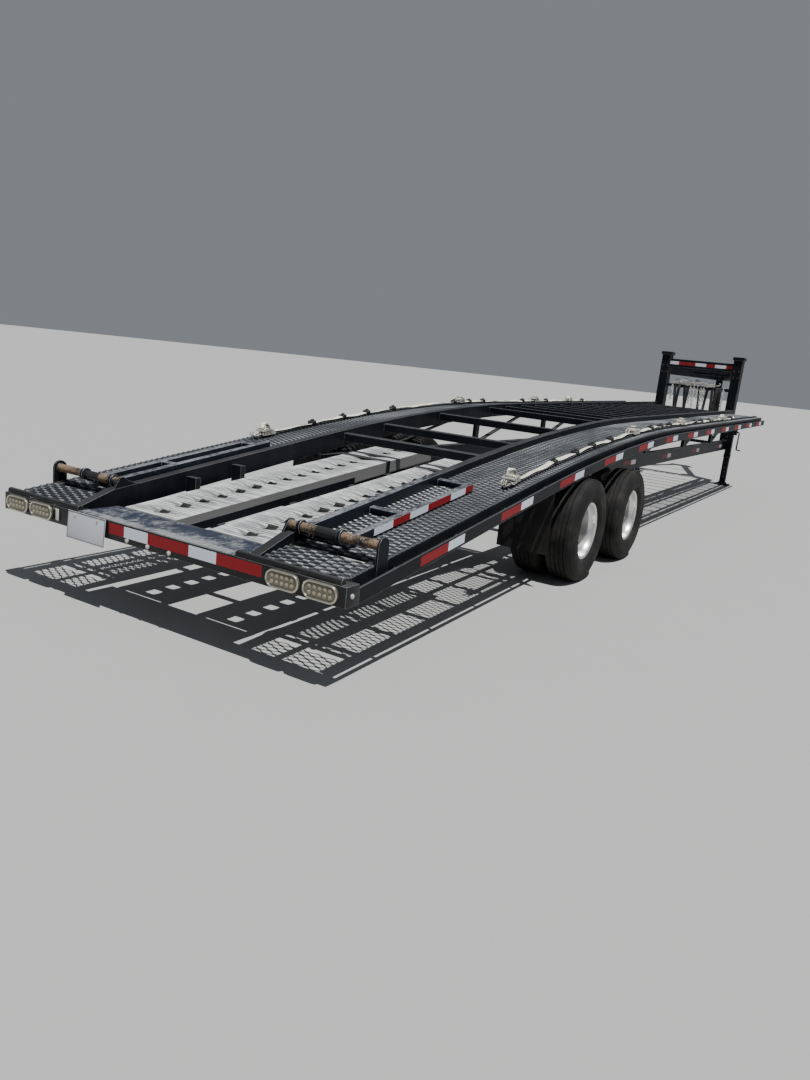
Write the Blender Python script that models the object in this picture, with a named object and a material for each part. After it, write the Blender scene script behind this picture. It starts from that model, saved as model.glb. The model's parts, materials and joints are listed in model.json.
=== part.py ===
"""Car-hauling gooseneck trailer: a wedge deck of two expanded-metal tracks on tandem dual wheels.

Metres, +Z up. Stations run forward from the rear face of the bumper, X is to the right of the
centreline, and the ground is at zero. A parent empty puts the middle of the trailer at the origin.
"""
import math

import bmesh
import bpy
from mathutils import Matrix, Vector

# Clearances: resting faces, pieces that move past each other, pins in their holes, and how far
# a welded bar reaches into the one that carries it
SEAT = 0.0003
RUNNING_GAP = 0.006
PIN_GAP = 0.001
WELD = 0.006

# Deck line: a straight wedge, a crest that bends evenly, and a nearly level front
MESH_THICK = 0.006
BUMPER_BOTTOM = 0.422
BUMPER_TOP = 0.522
TAIL_HEIGHT = BUMPER_TOP + SEAT + MESH_THICK
WEDGE_SLOPE = 0.135
CREST_START = 2.20
CREST_END = 5.90
CREST_STEPS = 6
FRONT_SLOPE = 0.014
DECK_END = 11.47

# Rails of each track, from the centreline out; the inner rails rise from the bumper's lip
INNER_RAIL_X = 0.615
INNER_RAIL_WIDTH = 0.057
INNER_RAIL_HEIGHT = 0.127
INNER_RAIL_RISE = 0.048
INNER_RAIL_TAPER = 0.270
TRACK_CLEAR = 0.445
OUTER_RAIL_X = INNER_RAIL_X + INNER_RAIL_WIDTH + TRACK_CLEAR
OUTER_RAIL_WIDTH = 0.053
OUTER_RAIL_HEIGHT = 0.120
OUTER_RAIL_WALL = 0.007

# Rub rail on its spools, which ends the deck's width
SPOOL_LENGTH = 0.0392
SPOOL_RADIUS = 0.016
SPOOL_START = 0.46
SPOOL_PITCH = 0.61
RUB_RAIL_THICK = 0.010
RUB_RAIL_HEIGHT = 0.076
RUB_RAIL_DROP = 0.040
DECK_HALF_WIDTH = OUTER_RAIL_X + OUTER_RAIL_WIDTH + SPOOL_LENGTH + RUB_RAIL_THICK

# Bumper and the bars under the mesh
BUMPER_DEPTH = 0.10
STRINGER_INSET = 0.168
STRINGER_X = INNER_RAIL_X + INNER_RAIL_WIDTH + STRINGER_INSET
STRINGER_WIDTH = 0.036
DECK_BAR_HEIGHT = 0.045
DECK_BAR_WIDTH = 0.045
DECK_BAR_START = 0.42
DECK_BAR_PITCH = 0.39

# Openings of the mesh sheets, a plain grid between the bars under them
MESH_COLUMN_COUNT = 3
MESH_RIB = 0.024
MESH_EDGE = 0.012

# Strap rail on the mesh, with its ratchets and webbing
STRAP_RAIL_INSET = 0.062
STRAP_RAIL_X = OUTER_RAIL_X - STRAP_RAIL_INSET
STRAP_RAIL_WIDTH = 0.040
STRAP_RAIL_HEIGHT = 0.014
STRAP_RAIL_START = 0.62
WEBBING_WIDTH = 0.048
WEBBING_THICK = 0.004
RATCHET_LENGTH = 0.150
RATCHET_WIDTH = 0.074
RATCHET_CHEEK = 0.005
RATCHET_HEIGHT = 0.052
RATCHET_CHEEK_SHARE = 0.80
RATCHET_DRUM = 0.020
RATCHETS_RIGHT = (1.90, 4.45, 6.28, 8.55)
RATCHETS_LEFT = (2.00, 5.20, 7.30, 8.60)
STRAP_TAIL = 0.80

# Flip-over wheel ramps and the pipes they turn on
HINGE_STATION = 0.330
HINGE_RADIUS = 0.024
EAR_THICK = 0.012
EAR_RADIUS = 0.045
GUSSET_END = 0.440
GUSSET_DROP = 0.012
FLIP_INSET = 0.0077
FLIP_EDGE_GAP = 0.105
FLIP_X = INNER_RAIL_X + INNER_RAIL_WIDTH + FLIP_INSET + SEAT
FLIP_WIDTH = STRAP_RAIL_X - FLIP_EDGE_GAP - FLIP_X
FLIP_BAR = 0.045
FLIP_HOLE_COUNT = 2
FLIP_GUIDE_HEIGHT = 0.075
FLIP_START = 0.385
FLIP_END = 1.670
FLIP_MIDDLE = 0.880
FLIP_STEP = 0.002
LUG_THICK = 0.020
LUG_RADIUS = 0.036

# Rear lip, lamps and plate
LIP_RADIUS = 0.017
LIP_SINK = 0.004
LIP_SETBACK = 0.030
LAMP_WIDTH = 0.197
LAMP_HEIGHT = 0.090
LAMP_BEZEL = 0.014
LAMP_STANDOFF = 0.022
LAMP_Z = 0.474
LAMP_INSETS = (0.3492, 0.1342)
MARKER_STATIONS_X = (-0.174, -0.020, 0.134)
MARKER_Z = 0.442
MARKER_SIZE = 0.020
MARKER_STANDOFF = 0.010
MARKER_SIDE_STATION = 0.044
PLATE_WIDTH = 0.305
PLATE_HEIGHT = 0.152
PLATE_THICK = 0.003
PLATE_STANDOFF = 0.006
PLATE_BRACKET_HEIGHT = 0.050
PLATE_X = -0.485
PLATE_Z = 0.448
PLATE_TILT = math.radians(4.0)

# Loading ramps stowed between the tracks, and what holds them
RAMP_LENGTH = 2.740
RAMP_WIDTH = 0.405
RAMP_HEIGHT = 0.089
RAMP_SIDE_GAP = 0.085
RAMP_INNER_X = INNER_RAIL_X - RAMP_SIDE_GAP - RAMP_WIDTH
RAMP_STATION = 0.300
RAMP_TOP = 0.530
RAMP_SLOPE = 0.100
RAMP_SKIN = 0.008
RAMP_HOLE_PITCH = 0.1524
RAMP_HOLE_LENGTH = 0.080
RAMP_HOLE_WIDTH = 0.060
RAMP_HOLE_COUNT = 17
RAMP_HOLE_START = 0.033
TAIL_PLATE_GAP = 0.050
TAIL_PLATE_HALF_WIDTH = INNER_RAIL_X - TAIL_PLATE_GAP
TAIL_PLATE_LENGTH = 0.265
TAIL_PLATE_THICK = 0.006
GUIDE_WALL = 0.006
GUIDE_LEG = 0.060
GUIDE_RISE = 0.045
GUIDE_END = 1.950
GUIDE_REST_STATIONS = (0.62, 1.26, 1.90, 2.38)
GUIDE_REST_HEIGHT = 0.030
GUIDE_POST_STATIONS = (0.84, 1.24)
BAND_STATION = 2.380
BAND_WIDTH = 0.050
BAND_THICK = 0.004

# Main beams, posts and crossmembers
BEAM_INSET = 0.023
BEAM_X = INNER_RAIL_X - BEAM_INSET
BEAM_WIDTH = 0.076
BEAM_BOTTOM = 0.580
BEAM_DEPTH = 0.152
BEAM_START = 2.150
BEAM_NOSE = 0.450
BEAM_TIP = 0.040
POST_WIDTH = 0.060
POST_STATIONS = (3.00, 4.86, 6.70, 8.60, 10.40)
DIAGONAL_REACH = 1.150
CROSS_STATIONS_WIDE = (2.50, 3.07, 4.02, 5.09)
CROSS_PITCH = 0.410
CROSS_COUNT = 15
CROSS_HEIGHT_WIDE = 0.060
CROSS_HEIGHT = 0.045
CROSS_WIDTH = 0.050
CROSS_DROP = 0.024

# Gooseneck
RISER_X = BEAM_X
RISER_WIDTH = 0.140
RISER_STATION = 11.850
RISER_DEPTH = 0.200
RISER_TOP = 2.055
CAP_RIM = 0.018
CAP_HEIGHT = 0.045
TOP_BAR_BOTTOM = 1.856
TOP_BAR_HEIGHT = 0.132
TOP_BAR_DEPTH = 0.080
RACK_BAR_HEIGHT = 1.520
RACK_BAR_SIZE = 0.050
NECK_BOTTOM = 1.720
NECK_DEPTH = 0.180
NECK_WIDTH = 0.100
NOSE_HALF_WIDTH = 0.170
NOSE_STATION = 13.550
NOSE_LENGTH = 0.310
COUPLER_STATION = 13.720
COUPLER_RADIUS = 0.064
COUPLER_BOTTOM = 1.080
COUPLER_COLLAR = 0.120
COUPLER_WALL = 0.014
SOCKET_RADIUS = 0.0315
SOCKET_DEPTH = 0.090
LEG_GAP = 0.023
LEG_STATION = 11.600
LEG_SIZE = 0.090
LEG_X = BEAM_X + BEAM_WIDTH + LEG_GAP + LEG_SIZE / 2
FOOT_SIZE = 0.220
FOOT_THICK = 0.020

# Wheels and running gear
AXLE_STATIONS = (("rear", 3.067), ("front", 4.166))
TYRE_RADIUS = 0.391
TYRE_WIDTH = 0.235
TREAD_WIDTH = 0.166
DUAL_SPACING = 0.275
TYRE_OVERHANG = 0.0733
TRACK_X = DECK_HALF_WIDTH + TYRE_OVERHANG - (DUAL_SPACING + TYRE_WIDTH) / 2
RIM_RADIUS = 0.2035
RIM_FLANGE = 0.0125
RIM_WIDTH = 0.169
RIM_WALL = 0.0215
DISC_THICK = 0.010
DISC_RADIUS = 0.125
HUB_RADIUS = 0.058
HUB_FACE = 0.030
HUB_LENGTH = 0.122
DRUM_RADIUS = 0.156
DRUM_DEPTH = 0.235
DRUM_GAP = 0.035
SPINDLE_RADIUS = 0.033
SPINDLE_END = 0.082
AXLE_RADIUS = 0.0635
BACKING_RADIUS = 0.150
BACKING_THICK = 0.014
BACKING_GAP = 0.0285
AXLE_END = TRACK_X - DRUM_DEPTH - BACKING_GAP - BACKING_THICK
WHEEL_SEGMENTS = 18
AXLE_SEGMENTS = 12
SPOOL_SEGMENTS = 6
ROUND_SEGMENTS = 12

# Leaf springs
SPRING_X = BEAM_X
SPRING_WIDTH = BEAM_WIDTH
LEAF_THICK = 0.011
LEAF_REACH = 0.460
LEAF_CAMBER = 0.045
LEAF_STEPS = 6
LEAF_SHARES = (1.00, 0.72, 0.44)
SADDLE_THICK = 0.012
SADDLE_LENGTH = 0.130
HANGER_LENGTH = 0.110
HANGER_WALL = 0.008
HANGER_LAP = 0.030
HANGER_DROP = 0.050
EQUALIZER_LENGTH = 0.360

# Mud flaps
FLAP_STATION = 2.540
FLAP_WIDTH = 0.390
FLAP_EDGE_GAP = 0.010
FLAP_OUTER_X = OUTER_RAIL_X + OUTER_RAIL_WIDTH - FLAP_EDGE_GAP
FLAP_BOTTOM = 0.260
FLAP_THICK = 0.008

REAR_END = -LAMP_STANDOFF
FRONT_END = NOSE_STATION + NOSE_LENGTH
MIDDLE = (FRONT_END + REAR_END) / 2
SIDES = (("right", 1), ("left", -1))


def crest_height(station):
    """Height of the deck line worked out from its slopes."""
    wedge = min(station, CREST_START)
    bend = min(max(station - CREST_START, 0.0), CREST_END - CREST_START)
    level = max(station - CREST_END, 0.0)
    turn = (WEDGE_SLOPE - FRONT_SLOPE) / (CREST_END - CREST_START)
    return (TAIL_HEIGHT + WEDGE_SLOPE * wedge + WEDGE_SLOPE * bend - turn * bend * bend / 2
            + FRONT_SLOPE * level)


def deck_bends():
    """Stations of the small bends that make up the crest."""
    step = (CREST_END - CREST_START) / CREST_STEPS
    return [CREST_START + step * i for i in range(CREST_STEPS + 1)]


def deck_height(station):
    """Height of the deck's top, straight from bend to bend."""
    bends = [0.0] + deck_bends() + [RISER_STATION]
    for low, high in zip(bends, bends[1:]):
        if station <= high:
            share = (station - low) / (high - low)
            return crest_height(low) * (1 - share) + crest_height(high) * share
    return crest_height(station)


def rail_bottom(station):
    """Underside of the inner rail."""
    return deck_height(station) + INNER_RAIL_RISE - INNER_RAIL_HEIGHT


# The hinge pipes pass just over the inner rails
HINGE_HEIGHT = deck_height(HINGE_STATION + HINGE_RADIUS) + INNER_RAIL_RISE + SEAT + HINGE_RADIUS


def ramp_top(station):
    """Top of the stowed loading ramps."""
    return RAMP_TOP + RAMP_SLOPE * (station - RAMP_STATION)


def ramp_bottom(station):
    """Underside of the stowed loading ramps, square to their slope."""
    return ramp_top(station) - RAMP_HEIGHT * math.sqrt(1 + RAMP_SLOPE ** 2)


def finish(name, bm, material, parent, location=(0.0, 0.0, 0.0)):
    """Turn a bmesh into a named object with its material, at its place under its parent."""
    bmesh.ops.recalc_face_normals(bm, faces=bm.faces)
    mesh = bpy.data.meshes.new(name)
    bm.to_mesh(mesh)
    bm.free()
    mesh.materials.append(material)
    item = bpy.data.objects.new(name, mesh)
    bpy.context.scene.collection.objects.link(item)
    item.parent = parent
    item.location = location
    return item


def smooth(item, angle=35.0):
    """Shade round pieces smooth up to the given angle."""
    item.data.shade_smooth()
    item.data.set_sharp_from_angle(angle=math.radians(angle))
    return item


def loft(bm, rings):
    """Closed body through rings that all have the same number of points."""
    loops = [[bm.verts.new(point) for point in ring] for ring in rings]
    for near, far in zip(loops, loops[1:]):
        for i, corner in enumerate(near):
            j = (i + 1) % len(near)
            bm.faces.new((corner, near[j], far[j], far[i]))
    bm.faces.new(list(reversed(loops[0])))
    bm.faces.new(loops[-1])


def block(bm, low, high):
    """Box between two corners."""
    size = Vector(high) - Vector(low)
    centre = (Vector(high) + Vector(low)) / 2
    bmesh.ops.create_cube(bm, size=1.0, matrix=Matrix.Translation(centre) @ Matrix.Diagonal((*size, 1.0)))


def mirror_block(bm, side, x_low, x_high, low, high):
    """Box on one side of the centreline, from its two distances off the centreline."""
    inner, outer = sorted((side * x_low, side * x_high))
    block(bm, (inner, low[0], low[1]), (outer, high[0], high[1]))


def rod(bm, start, end, radius, segments=ROUND_SEGMENTS):
    """Round bar between two points."""
    start, end = Vector(start), Vector(end)
    turn = (end - start).to_track_quat("Z", "Y").to_matrix().to_4x4()
    bmesh.ops.create_cone(bm, cap_ends=True, segments=segments, radius1=radius, radius2=radius,
                          depth=(end - start).length, matrix=Matrix.Translation((start + end) / 2) @ turn)


def plate_yz(bm, outline, x_low, x_high):
    """Plate with an outline of (station, height) points and a thickness across the trailer."""
    loft(bm, [[(x, y, z) for y, z in outline] for x in (x_low, x_high)])


def plate_xz(bm, outline, y_low, y_high):
    """Plate with an outline of (x, height) points and a thickness along the trailer."""
    loft(bm, [[(x, y, z) for x, z in outline] for y in (y_low, y_high)])


def rectangle(x_low, x_high, z_low, z_high):
    """Corners of a rectangle, for a section or an outline."""
    return [(x_low, z_low), (x_high, z_low), (x_high, z_high), (x_low, z_high)]


def follow(bm, section, start, end, line):
    """Bar whose section of (x, height over the line) runs from one station to another."""
    bends = [y for y in deck_bends() if start < y < end]
    stations = [start] + bends + [end]
    loft(bm, [[(x, y, line(y) + dz) for x, dz in section] for y in stations])


def follow_deck(bm, section, start, end):
    """Bar that follows the deck line."""
    follow(bm, section, start, end, deck_height)


def revolve(bm, outline, closed=True, segments=WHEEL_SEGMENTS):
    """Body turned about X from (along X, radius) points; an open outline ends on the axis."""
    points = [bm.verts.new((along, 0.0, -radius)) for along, radius in outline]
    pairs = list(zip(points, points[1:]))
    if closed:
        pairs.append((points[-1], points[0]))
    edges = [bm.edges.new(pair) for pair in pairs]
    bmesh.ops.spin(bm, geom=points + edges, cent=(0, 0, 0), axis=(1, 0, 0), angle=2 * math.pi,
                   steps=segments, use_merge=True)
    bmesh.ops.remove_doubles(bm, verts=bm.verts, dist=1e-5)


def stadium(width, height, steps=4):
    """Oval outline with straight long sides and half-round ends, centred."""
    radius = height / 2
    reach = width / 2 - radius
    outline = []
    for end, first in ((1, -math.pi / 2), (-1, math.pi / 2)):
        for i in range(steps + 1):
            angle = first + math.pi * i / steps
            outline.append((end * reach + radius * math.cos(angle), radius * math.sin(angle)))
    return outline


def arc(centre, radius, start, end, steps):
    """Points along an arc, angles in degrees."""
    angles = [math.radians(start + (end - start) * i / steps) for i in range(steps + 1)]
    return [(centre[0] + radius * math.cos(a), centre[1] + radius * math.sin(a)) for a in angles]


def combine(item, name, bm, operation):
    """Join bodies to an object, or cut them out of it, through a hidden helper."""
    helper = finish(name, bm, item.data.materials[0], item)
    helper.hide_render = True
    helper.display_type = "WIRE"
    boolean = item.modifiers.new(name, "BOOLEAN")
    boolean.operation = operation
    boolean.solver = "EXACT"
    boolean.use_self = operation == "UNION"
    boolean.object = helper


def weld(item, bm):
    """Join overlapping bars to an object, as if welded."""
    combine(item, f"{item.name}_welded", bm, "UNION")


def cut(item, bm):
    """Cut bodies out of an object."""
    combine(item, f"{item.name}_cuts", bm, "DIFFERENCE")


def make_material(name, color, roughness, metallic=0.0):
    """Principled material from a colour, a roughness and a metallic value."""
    material = bpy.data.materials.new(name)
    material.use_nodes = True
    shader = material.node_tree.nodes["Principled BSDF"]
    shader.inputs["Base Color"].default_value = (*color, 1.0)
    shader.inputs["Roughness"].default_value = roughness
    shader.inputs["Metallic"].default_value = metallic
    return material


def make_materials():
    """All finishes by name."""
    # name: colour, roughness, metallic
    table = {
        "frame_paint": ((0.018, 0.020, 0.026), 0.45, 0.0),
        "deck_steel": ((0.045, 0.047, 0.050), 0.55, 0.6),
        "rusty_pipe": ((0.130, 0.085, 0.060), 0.75, 0.3),
        "ramp_aluminium": ((0.750, 0.750, 0.740), 0.35, 1.0),
        "wheel_silver": ((0.620, 0.620, 0.600), 0.40, 0.8),
        "tyre_rubber": ((0.030, 0.029, 0.027), 0.85, 0.0),
        "running_gear": ((0.025, 0.024, 0.023), 0.70, 0.2),
        "flap_rubber": ((0.015, 0.015, 0.015), 0.80, 0.0),
        "plate_white": ((0.780, 0.780, 0.760), 0.40, 0.0),
        "webbing": ((0.620, 0.600, 0.520), 0.85, 0.0),
    }
    return {name: make_material(name, *values) for name, values in table.items()}


def make_bumper(looks, parent):
    """Rear bumper tube with its rolled lips, four oval tail lamps and the small marker lamps."""
    bm = bmesh.new()
    block(bm, (-DECK_HALF_WIDTH, 0.0, BUMPER_BOTTOM), (DECK_HALF_WIDTH, BUMPER_DEPTH, BUMPER_TOP))
    bumper = finish("rear_bumper", bm, looks["frame_paint"], parent)

    bm = bmesh.new()
    lip_start = TAIL_PLATE_HALF_WIDTH + RUNNING_GAP
    lip_height = BUMPER_TOP + LIP_RADIUS - LIP_SINK
    for _, side in SIDES:
        rod(bm, (side * lip_start, LIP_RADIUS, lip_height),
            (side * (DECK_HALF_WIDTH - LIP_SETBACK), LIP_RADIUS, lip_height), LIP_RADIUS)
        for inset in LAMP_INSETS:
            x = DECK_HALF_WIDTH - inset
            for width, height, standoff in ((LAMP_WIDTH, LAMP_HEIGHT, LAMP_BEZEL),
                                            (LAMP_WIDTH - 2 * LAMP_BEZEL, LAMP_HEIGHT - 2 * LAMP_BEZEL,
                                             LAMP_STANDOFF)):
                outline = [(side * x + px, LAMP_Z + pz) for px, pz in stadium(width, height)]
                plate_xz(bm, outline, -standoff, WELD)
        end = DECK_HALF_WIDTH - WELD
        half = MARKER_SIZE / 2
        mirror_block(bm, side, end, DECK_HALF_WIDTH + MARKER_STANDOFF,
                     (MARKER_SIDE_STATION - half, LAMP_Z - half), (MARKER_SIDE_STATION + half, LAMP_Z + half))
    for x in MARKER_STATIONS_X:
        block(bm, (x - MARKER_SIZE, -MARKER_STANDOFF, MARKER_Z - half),
              (x + MARKER_SIZE, WELD, MARKER_Z + half))
    weld(bumper, bm)


def make_number_plate(looks, parent):
    """Blank number plate that leans on the bumper, held by a bracket behind it."""
    lean = math.tan(PLATE_TILT)
    low, high = PLATE_Z - PLATE_HEIGHT / 2, PLATE_Z + PLATE_HEIGHT / 2
    back = -PLATE_STANDOFF
    bm = bmesh.new()
    plate = [(back, high), (back - PLATE_THICK, high), (back - PLATE_THICK - lean * PLATE_HEIGHT, low),
             (back - lean * PLATE_HEIGHT, low)]
    plate_yz(bm, plate, PLATE_X - PLATE_WIDTH / 2, PLATE_X + PLATE_WIDTH / 2)
    item = finish("number_plate", bm, looks["plate_white"], parent)
    bm = bmesh.new()
    foot = high - PLATE_BRACKET_HEIGHT
    bracket = [(-SEAT, high - WELD), (-SEAT, foot), (back - lean * (high - foot) - PLATE_THICK / 2, foot),
               (back - PLATE_THICK / 2, high - WELD)]
    plate_yz(bm, bracket, PLATE_X - PLATE_WIDTH / 3, PLATE_X + PLATE_WIDTH / 3)
    weld(item, bm)


def make_tail_plate(looks, parent):
    """Worn plate between the tracks, on the bumper."""
    bm = bmesh.new()
    low = BUMPER_TOP + SEAT
    block(bm, (-TAIL_PLATE_HALF_WIDTH, 0.0, low),
          (TAIL_PLATE_HALF_WIDTH, TAIL_PLATE_LENGTH, low + TAIL_PLATE_THICK))
    finish("tail_plate", bm, looks["frame_paint"], parent)


def inner_rail_outline():
    """Side of an inner rail, whose tail lies on the bumper and starts level with the mesh."""
    nose, start, end = 2 * LIP_RADIUS + SEAT, BUMPER_DEPTH + SEAT, RISER_STATION - SEAT
    bends = [y for y in deck_bends() if start < y < end]
    seat = BUMPER_TOP + SEAT
    low = [(nose, seat), (start, seat)] + [(y, rail_bottom(y)) for y in [start] + bends + [end]]
    high = [(y, deck_height(y) + INNER_RAIL_RISE) for y in [end] + bends[::-1] + [INNER_RAIL_TAPER]]
    return low + high + [(nose, deck_height(nose))]


def make_centre_frame(looks, parent):
    """Inner rails and the bars between them, welded into one frame."""
    rail = inner_rail_outline()
    bm = bmesh.new()
    plate_yz(bm, rail, INNER_RAIL_X, INNER_RAIL_X + INNER_RAIL_WIDTH)
    frame = finish("centre_frame", bm, looks["frame_paint"], parent)

    bm = bmesh.new()
    plate_yz(bm, rail, -INNER_RAIL_X, -INNER_RAIL_X - INNER_RAIL_WIDTH)
    reach = INNER_RAIL_X + WELD
    narrow = [CROSS_STATIONS_WIDE[-1] + CROSS_PITCH * (i + 1) for i in range(CROSS_COUNT)]
    bars = [(y, CROSS_HEIGHT_WIDE) for y in CROSS_STATIONS_WIDE] + [(y, CROSS_HEIGHT) for y in narrow]
    for station, height in bars:
        top = INNER_RAIL_RISE - CROSS_DROP
        section = rectangle(-reach, reach, top - height, top)
        follow_deck(bm, section, station - CROSS_WIDTH / 2, station + CROSS_WIDTH / 2)
    weld(frame, bm)


def make_track_frames(looks, parent):
    """Outer channel, stringer, crossbars and end beam of each track, welded into one frame."""
    start = BUMPER_DEPTH + SEAT
    rail = INNER_RAIL_X + INNER_RAIL_WIDTH + SEAT
    top = -MESH_THICK - SEAT
    low = top - OUTER_RAIL_HEIGHT
    web, wall = OUTER_RAIL_X + OUTER_RAIL_WIDTH, OUTER_RAIL_WALL
    channel = [(OUTER_RAIL_X, top), (web, top), (web, low), (OUTER_RAIL_X, low), (OUTER_RAIL_X, low + wall),
               (web - wall, low + wall), (web - wall, top - wall), (OUTER_RAIL_X, top - wall)]
    for label, side in SIDES:
        bm = bmesh.new()
        follow_deck(bm, [(side * x, dz) for x, dz in channel], start, DECK_END)
        frame = finish(f"track_frame_{label}", bm, looks["frame_paint"], parent)

        bm = bmesh.new()
        stringer = rectangle(side * STRINGER_X, side * (STRINGER_X + STRINGER_WIDTH),
                             top - DECK_BAR_HEIGHT - WELD, top - WELD)
        follow_deck(bm, stringer, start, DECK_END - WELD)
        bar = rectangle(side * rail, side * (OUTER_RAIL_X + WELD), top - DECK_BAR_HEIGHT, top)
        for station in deck_bar_stations():
            follow_deck(bm, bar, station - DECK_BAR_WIDTH / 2, station + DECK_BAR_WIDTH / 2)
        end = rectangle(side * rail, side * (OUTER_RAIL_X + WELD), low, top)
        follow_deck(bm, end, DECK_END - CROSS_WIDTH, DECK_END)
        weld(frame, bm)


def make_rub_rails(looks, parent):
    """Flat rub rails outside the channels, each on its row of spools."""
    web = OUTER_RAIL_X + OUTER_RAIL_WIDTH
    bar_x = DECK_HALF_WIDTH - RUB_RAIL_THICK
    count = int((DECK_END - SPOOL_START) / SPOOL_PITCH) + 1
    for label, side in SIDES:
        bm = bmesh.new()
        section = rectangle(side * bar_x, side * DECK_HALF_WIDTH,
                            -RUB_RAIL_DROP - RUB_RAIL_HEIGHT, -RUB_RAIL_DROP)
        follow_deck(bm, section, BUMPER_DEPTH + SEAT, DECK_END)
        rail = finish(f"rub_rail_{label}", bm, looks["frame_paint"], parent)
        bm = bmesh.new()
        for i in range(count):
            station = SPOOL_START + SPOOL_PITCH * i
            height = deck_height(station) - RUB_RAIL_DROP - RUB_RAIL_HEIGHT / 2
            rod(bm, (side * (web + SEAT), station, height), (side * (bar_x + WELD), station, height),
                SPOOL_RADIUS, SPOOL_SEGMENTS)
        weld(rail, bm)


def deck_bar_stations():
    """Stations of the bars under the mesh sheets."""
    count = int((DECK_END - DECK_BAR_START) / DECK_BAR_PITCH) + 1
    return [DECK_BAR_START + DECK_BAR_PITCH * i for i in range(count)]


def split(low, high, count, rib):
    """Equal openings between two edges, with a rib between neighbours."""
    width = (high - low - rib * (count - 1)) / count
    return [(low + (width + rib) * i, low + (width + rib) * i + width) for i in range(count)]


def make_deck_mesh(looks, parent):
    """Mesh of each track: a sheet of the expanded steel's thickness with a plain grid of openings."""
    low = INNER_RAIL_X + INNER_RAIL_WIDTH + SEAT
    high = OUTER_RAIL_X + OUTER_RAIL_WIDTH
    stations = deck_bar_stations()
    columns = split(low + MESH_EDGE, OUTER_RAIL_X - MESH_EDGE, MESH_COLUMN_COUNT, MESH_RIB)
    margin = (DECK_BAR_WIDTH + MESH_RIB) / 2
    for label, side in SIDES:
        bm = bmesh.new()
        follow_deck(bm, rectangle(side * low, side * high, -MESH_THICK, 0.0), 2 * LIP_RADIUS + SEAT, DECK_END)
        sheet = finish(f"deck_mesh_{label}", bm, looks["deck_steel"], parent)

        bm = bmesh.new()
        for near, far in zip(stations, stations[1:]):
            for inner, outer in columns:
                follow_deck(bm, rectangle(side * inner, side * outer, -2 * MESH_THICK, MESH_THICK),
                            near + margin, far - margin)
        cut(sheet, bm)


def make_strap_rails(looks, parent):
    """Rails that the strap ratchets slide on."""
    for label, side in SIDES:
        bm = bmesh.new()
        section = rectangle(side * STRAP_RAIL_X, side * (STRAP_RAIL_X + STRAP_RAIL_WIDTH),
                            SEAT, STRAP_RAIL_HEIGHT)
        follow_deck(bm, section, STRAP_RAIL_START, DECK_END)
        finish(f"strap_rail_{label}", bm, looks["frame_paint"], parent)


def make_straps(looks, parent):
    """Webbing along each strap rail with the ratchets that hold it."""
    base = STRAP_RAIL_HEIGHT + SEAT
    centre = STRAP_RAIL_X + STRAP_RAIL_WIDTH / 2
    half = RATCHET_WIDTH / 2
    for (label, side), stations in zip(SIDES, (RATCHETS_RIGHT, RATCHETS_LEFT)):
        bm = bmesh.new()
        section = rectangle(side * (centre - WEBBING_WIDTH / 2), side * (centre + WEBBING_WIDTH / 2),
                            base, base + WEBBING_THICK)
        follow_deck(bm, section, stations[0], stations[-1] + STRAP_TAIL)
        straps = finish(f"straps_{label}", bm, looks["webbing"], parent)

        bm = bmesh.new()
        low = base + WEBBING_THICK / 2
        for station in stations:
            plate = rectangle(side * (centre - half), side * (centre + half), low, low + 2 * RATCHET_CHEEK)
            follow_deck(bm, plate, station, station + RATCHET_LENGTH)
            for wall in (-half, half - RATCHET_CHEEK):
                cheek = rectangle(side * (centre + wall), side * (centre + wall + RATCHET_CHEEK),
                                  low, low + RATCHET_HEIGHT)
                follow_deck(bm, cheek, station, station + RATCHET_LENGTH * RATCHET_CHEEK_SHARE)
            drum_y = station + RATCHET_LENGTH / 2
            drum_z = deck_height(drum_y) + base + RATCHET_DRUM + RATCHET_CHEEK
            rod(bm, (side * (centre - half), drum_y, drum_z), (side * (centre + half), drum_y, drum_z),
                RATCHET_DRUM, 10)
        weld(straps, bm)


def make_hinges(looks, parent):
    """Hinge pipe of each track, welded between its two ears."""
    web = OUTER_RAIL_X + OUTER_RAIL_WIDTH
    inner_ear_x = INNER_RAIL_X + EAR_THICK
    for label, side in SIDES:
        bm = bmesh.new()
        rod(bm, (side * (inner_ear_x - WELD), HINGE_STATION, HINGE_HEIGHT),
            (side * (web + WELD), HINGE_STATION, HINGE_HEIGHT), HINGE_RADIUS, 16)
        pipe = finish(f"hinge_{label}", bm, looks["rusty_pipe"], parent)

        bm = bmesh.new()
        gusset = [(y, deck_height(y) + INNER_RAIL_RISE + SEAT) for y in (INNER_RAIL_TAPER, GUSSET_END)]
        gusset += arc((HINGE_STATION, HINGE_HEIGHT), EAR_RADIUS - GUSSET_DROP, 30, 120, 4)
        plate_yz(bm, gusset, side * INNER_RAIL_X, side * inner_ear_x)
        low = deck_height(HINGE_STATION) - MESH_THICK - OUTER_RAIL_HEIGHT / 2
        ear = ([(HINGE_STATION + EAR_RADIUS, low)] + arc((HINGE_STATION, HINGE_HEIGHT), EAR_RADIUS, 0, 180, 6)
               + [(HINGE_STATION - EAR_RADIUS, low)])
        plate_yz(bm, ear, side * (web + SEAT), side * (web + SEAT + EAR_THICK))
        weld(smooth(pipe), bm)


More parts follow.
